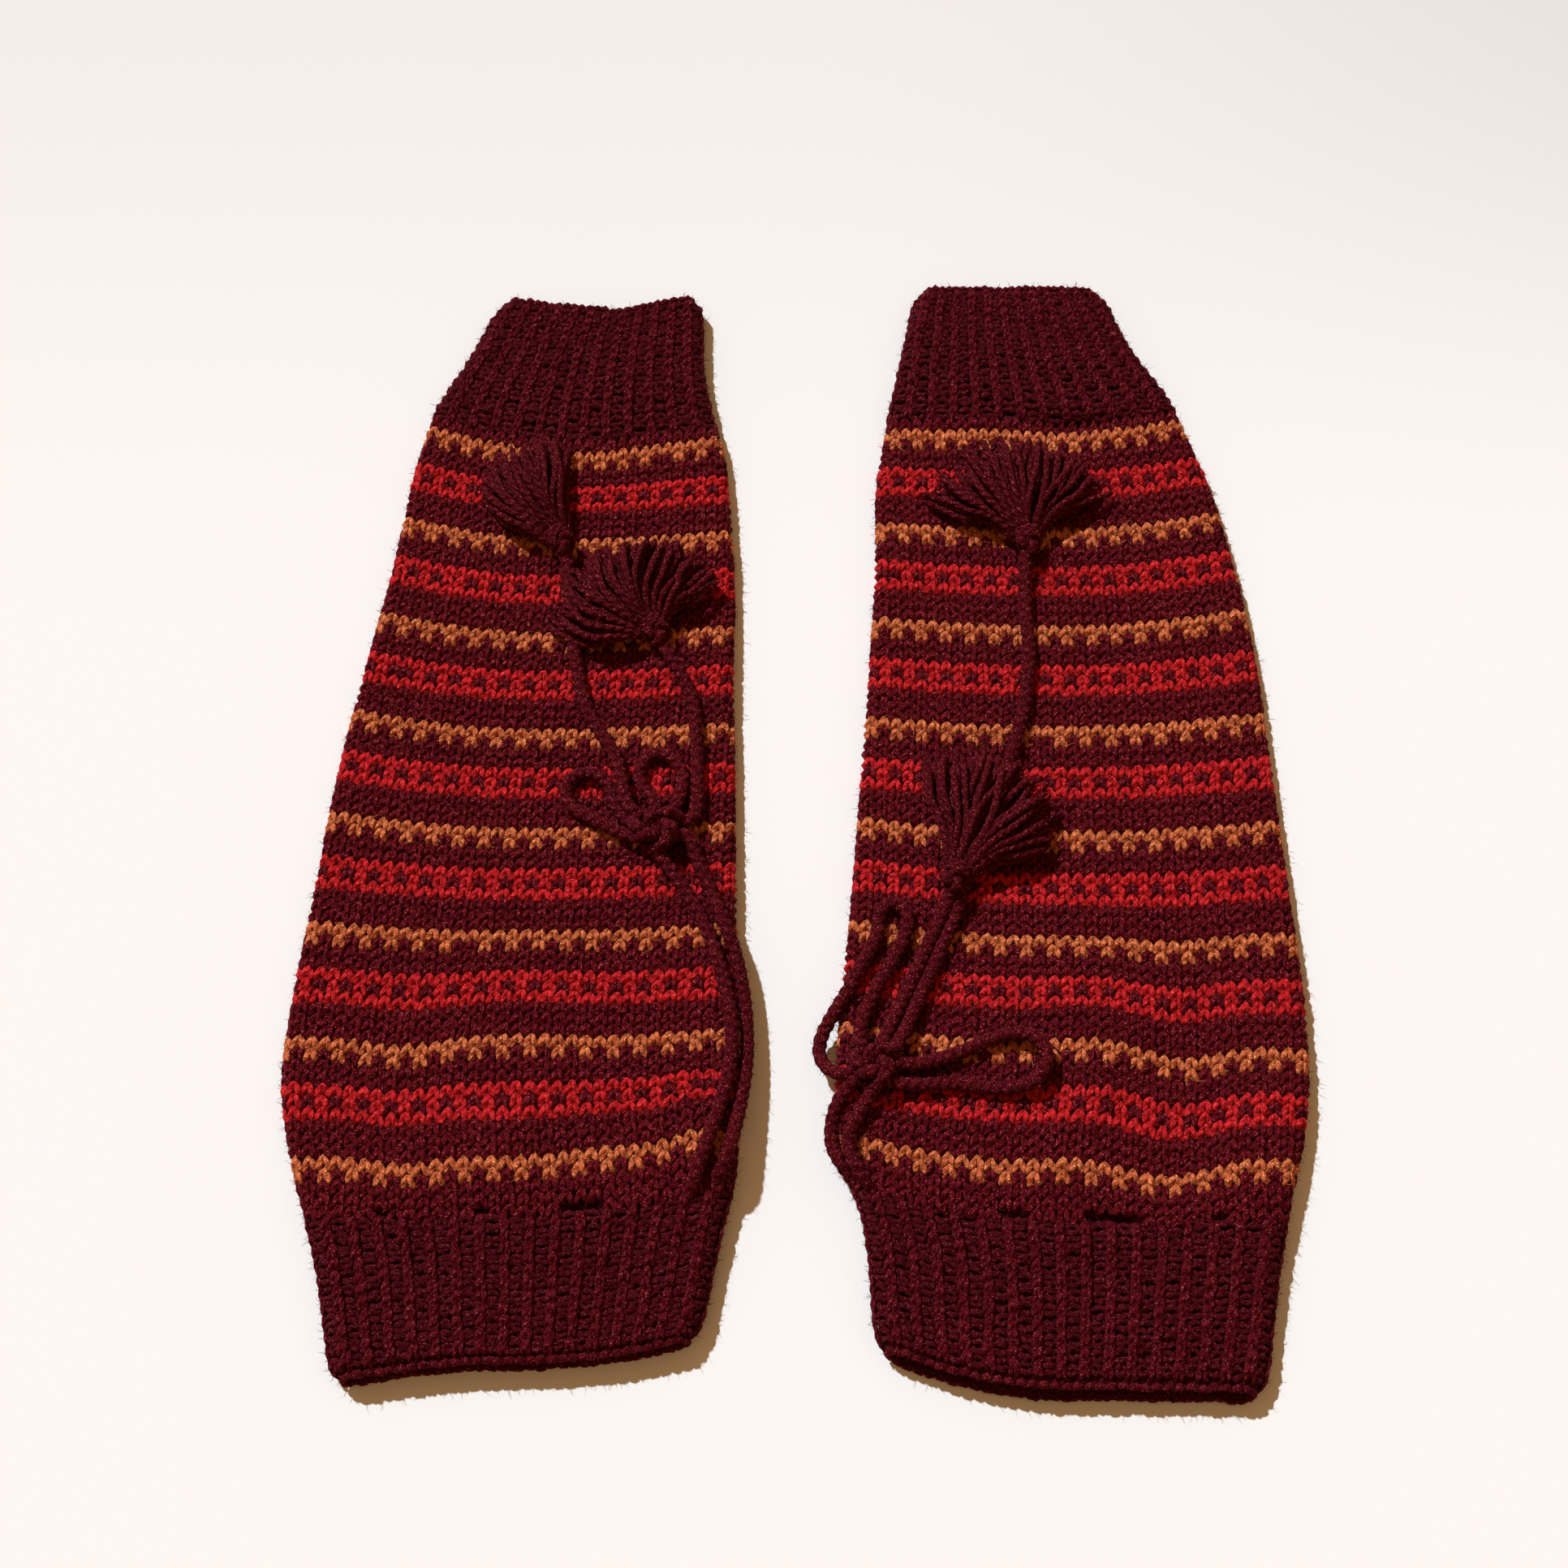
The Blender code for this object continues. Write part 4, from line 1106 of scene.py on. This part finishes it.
def strand_line(tassel, share, length, height, bend, phase):
    """The middle line of one yarn of a tassel, from its head over an arch down to its tip."""
    heading = math.radians(tassel.heading)
    angle = math.radians(tassel.half_spread) * share
    # A yarn leaves the tied neck close to its neighbours and fans out on the first part of its way.
    points = []
    for i in range(YARN_STEPS + 1):
        t = i / YARN_STEPS
        out = ROOT_OUT + (length - ROOT_OUT) * t
        curl = tassel.curl * (0.5 + 0.5 * share) + bend
        turn = heading + angle * (0.60 + 0.40 * min(1.0, t * 1.6)) + curl * (t - 0.6)
        arch = (ARCH_LOW + ARCH_MORE * height) * math.sin(math.pi * min(1.0, t * 0.92)) ** 0.9
        tip_z = TIP_LOW + TIP_MORE * height
        z = tassel.z - 1.0 + tip_z * t ** 1.5 + arch
        aside = NECK_HALF * share * (1 - t) ** 2 + WAVE * t * math.sin(phase + 6.0 * t)
        points.append(Vector((tassel.x + out * math.cos(turn) - aside * math.sin(heading),
                              tassel.y + out * math.sin(turn) + aside * math.cos(heading), z)))
    return points


def tassel_strands(tassel):
    """Place across the fan, length, height, bend and stray of each yarn of a tassel."""
    chance = random.Random(tassel.seed)
    count = round(STRANDS * tassel.across)
    # The yarns lie in five layers, so that neighbours differ in height.
    heights = [(((i * 3) % 5 + chance.uniform(0.0, 0.8)) / 4.8) ** 1.5 for i in range(count)]
    for i in range(count):
        share = 2 * (i + 0.5) / count - 1 + chance.uniform(-2.0, 2.0) / count
        height = max(0.0, min(1.0, heights[i] * (1 - 0.45 * share * share)))
        cut = 1 + tassel.slope * share - 0.12 * share * share
        length = tassel.length * chance.uniform(0.86, 1.05) * cut
        yield share, length * (1 - 0.12 * height), height, chance.gauss(0, 0.16), chance.uniform(0, 6.3)


TIE_STEPS = 42
TIE_TURNS = 3               # turns of yarn round the neck
TIE_START, TIE_LENGTH = 1.6, 3.6           # where they start and how far they run along it
TIE_HALF_X, TIE_HALF_Z = 4.1, 3.4
TIE_RADIUS = 1.15
HEAD_HALF = (3.6, 3.6, 2.4)
HEAD_RADIUS = 1.9


def build_tassel(tassel, fuzz, fibre_chance, material):
    """Cut yarns tied at the neck, with the cord's own knot as the head."""
    mesh = TwistMesh(fuzz, 1, fibre_chance)
    chance = random.Random(tassel.seed + 50)
    for strand in tassel_strands(tassel):
        line = smooth_route(strand_line(tassel, *strand), 1.9)
        mesh.add(line, YARN_RADIUS * chance.uniform(0.88, 1.10), plies=2, lay=6.4, depth=0.34, sides=8,
                 start_turn=chance.uniform(0, 6.3))
    heading = math.radians(tassel.heading)
    ahead = Vector((math.cos(heading), math.sin(heading), 0))
    aside = Vector((-ahead.y, ahead.x, 0))
    centre = Vector((tassel.x, tassel.y, tassel.z))
    tie = []
    for i in range(TIE_STEPS + 1):
        t = i / TIE_STEPS
        turn = 2 * math.pi * TIE_TURNS * t
        middle = centre + ahead * (TIE_START + TIE_LENGTH * t)
        tie.append(middle + aside * TIE_HALF_X * math.cos(turn) + Vector((0, 0, TIE_HALF_Z * math.sin(turn))))
    mesh.add(smooth_route(tie, 1.4), TIE_RADIUS, plies=2, lay=8.0, depth=0.26, sides=8)
    mesh.add(trefoil(centre - ahead * 1.2, HEAD_HALF, steps=48), HEAD_RADIUS, lay=8.0, depth=CORD_GROOVE,
             closed=True)
    return mesh.build(f"{tassel.side}_{tassel.name}_yarns", material)


# Assembly
def ride_and_replace(piece, slot, *nodes):
    """Put a piece on the one body, in place of the solids that it dresses."""
    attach(piece, "root")
    if nodes:
        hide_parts(*nodes)


def dress_cords(leg, routes, material):
    """The cords, the knot and the tassels of one leg."""
    side = leg.side
    fuzz = Fuzz()
    chance = np.random.default_rng(leg.seed + 200)
    knot = bow_knot(side, KNOTS[side], fuzz, chance, material)
    ride_and_replace(knot, side + "_bow_knot", side + "_bow_knot")
    tassels = {}
    for tassel in TASSELS:
        if tassel.side == side:
            piece = build_tassel(tassel, fuzz, chance, material)
            ride_and_replace(piece, f"{side}_{tassel.name}", f"{side}_{tassel.name}")
            tassels[tassel.name] = piece
    for name, route in routes.items():
        line = cord_line(side, name, route)
        mesh = TwistMesh(fuzz, CORD_FIBRES, chance)
        mesh.add(line, CORD_SHOWN, plies=3, lay=CORD_LAY, depth=CORD_GROOVE, sides=16)
        piece = mesh.build(f"{side}_{name}_twisted", material)
        node = f"{side}_{name}"
        ride_and_replace(piece, node, node)
        path = [p * MM for p in line]
        if "tail" in name:
            end, far_end, on_it = path[-1], "fitting", [tassels[tassel_of(name)]]
        elif "exit" in name:
            end, far_end, on_it = path[-1], "object", []
        else:
            end, far_end, on_it = path[0], "object", []
        tuple(end)
        round(line_length(line), 3)
        [tuple(p) for p in path]
        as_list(on_it)
    ride_and_replace(fuzz.build(side + "_cord_fibres", [material]), side + "_bow_knot")


BODY_AROUND = 100           # points round the body's plain cloth
RIB_AROUND = 4              # points for each rib


def dress_leg(leg, wool):
    """The three knitted stretches of one leg."""
    side = leg.side
    yarns = [wool["maroon"], wool["orange"], wool["red"]]
    rib_yarns = [wool["rib"], wool["purl"]]
    fuzz = Fuzz()
    ankle_rows = np.arange(1.0, ANKLE_RIB_END)
    knee_rows = np.arange(SLIT_ROW + 1.0, ROWS)
    parts = (
        ("ankle_rib", 0.0, float(ANKLE_RIB_END), RIB_INNER, ANKLE_RIBS, RIB_AROUND * ANKLE_RIBS,
         rib_stitches(leg, "ankle_rib", ankle_rows, ANKLE_RIBS, 0, ANKLE_BUMP, fuzz, rib_yarns)),
        ("body", float(ANKLE_RIB_END), float(KNEE_RIB_START), BODY_INNER, 0, BODY_AROUND,
         body_stitches(leg, fuzz, yarns)),
        ("knee_rib", float(KNEE_RIB_START), float(ROWS), RIB_INNER, KNEE_RIBS, RIB_AROUND * KNEE_RIBS,
         rib_stitches(leg, "knee_rib", knee_rows, KNEE_RIBS, ROWS, KNEE_BUMP, fuzz, rib_yarns)),
    )
    for name, start, end, inner, ribs, around, stitches in parts:
        node = f"{side}_{name}"
        # The plain cloth shows between the stitches in the darker purl wool, a painted shade.
        cloth = plain_cloth(node + "_cloth", leg, start, end, inner, ribs, around, wool["purl"])
        ride_and_replace(cloth, node, node)
        for piece in stitches:
            ride_and_replace(piece, node, node)
        rows = np.linspace(start, end, 20)
        width = float(np.mean([girth(leg, row) for row in rows])) * MM
        length = float(sections_at(leg, start).middle_y - sections_at(leg, end).middle_y) * MM
        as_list(stitches)
    ride_and_replace(fuzz.build(side + "_cloth_fibres", yarns), side + "_body")


TABLE_HALF = 3.0            # metres


def lay_table():
    """The pale sheet under the pair."""
    half = TABLE_HALF
    corners = [(-half, -half, 0), (half, -half, 0), (half, half, 0), (-half, half, 0)]
    data = bpy.data.meshes.new("table_sheet")
    data.from_pydata(corners, [], [(0, 1, 2, 3)])
    sheet = bpy.data.objects.new("table_sheet", data)
    sheet.data.materials.append(table_cloth())
    bpy.context.scene.collection.objects.link(sheet)


def main():
    place_camera()
    place_lights()
    # Each wool has the deep and bright shades of its fibres, and the glint of a lit one, painted into its
    # colour as a highlight.
    wool = {
        "maroon": worsted_wool("maroon_worsted_wool", "#3e030b", "#600b15", "#a84248"),
        "rib": worsted_wool("maroon_worsted_wool_in_rib", "#3c030a", "#5a0a14", "#963f48"),
        "orange": worsted_wool("orange_worsted_wool", "#7c2a13", "#dc744a", "#ffb070"),
        "red": worsted_wool("red_worsted_wool", "#74080f", "#d2232a", "#ee5048"),
        # The purl bumps and the plain cloth under the stitches lie in shade; this darker wool is their
        # painted shade.
        "purl": worsted_wool("maroon_wool_painted_shade", "#36020a", "#4e0a11", "#7c343c"),
        "cord": worsted_wool("maroon_wool_cord", "#2f0208", "#560a12", "#9c3e44"),
    }
    for leg, routes in ((LEFT, LEFT_CORDS), (RIGHT, RIGHT_CORDS)):
        dress_cords(leg, routes, wool["cord"])
        dress_leg(leg, wool)
    lay_table()


main()
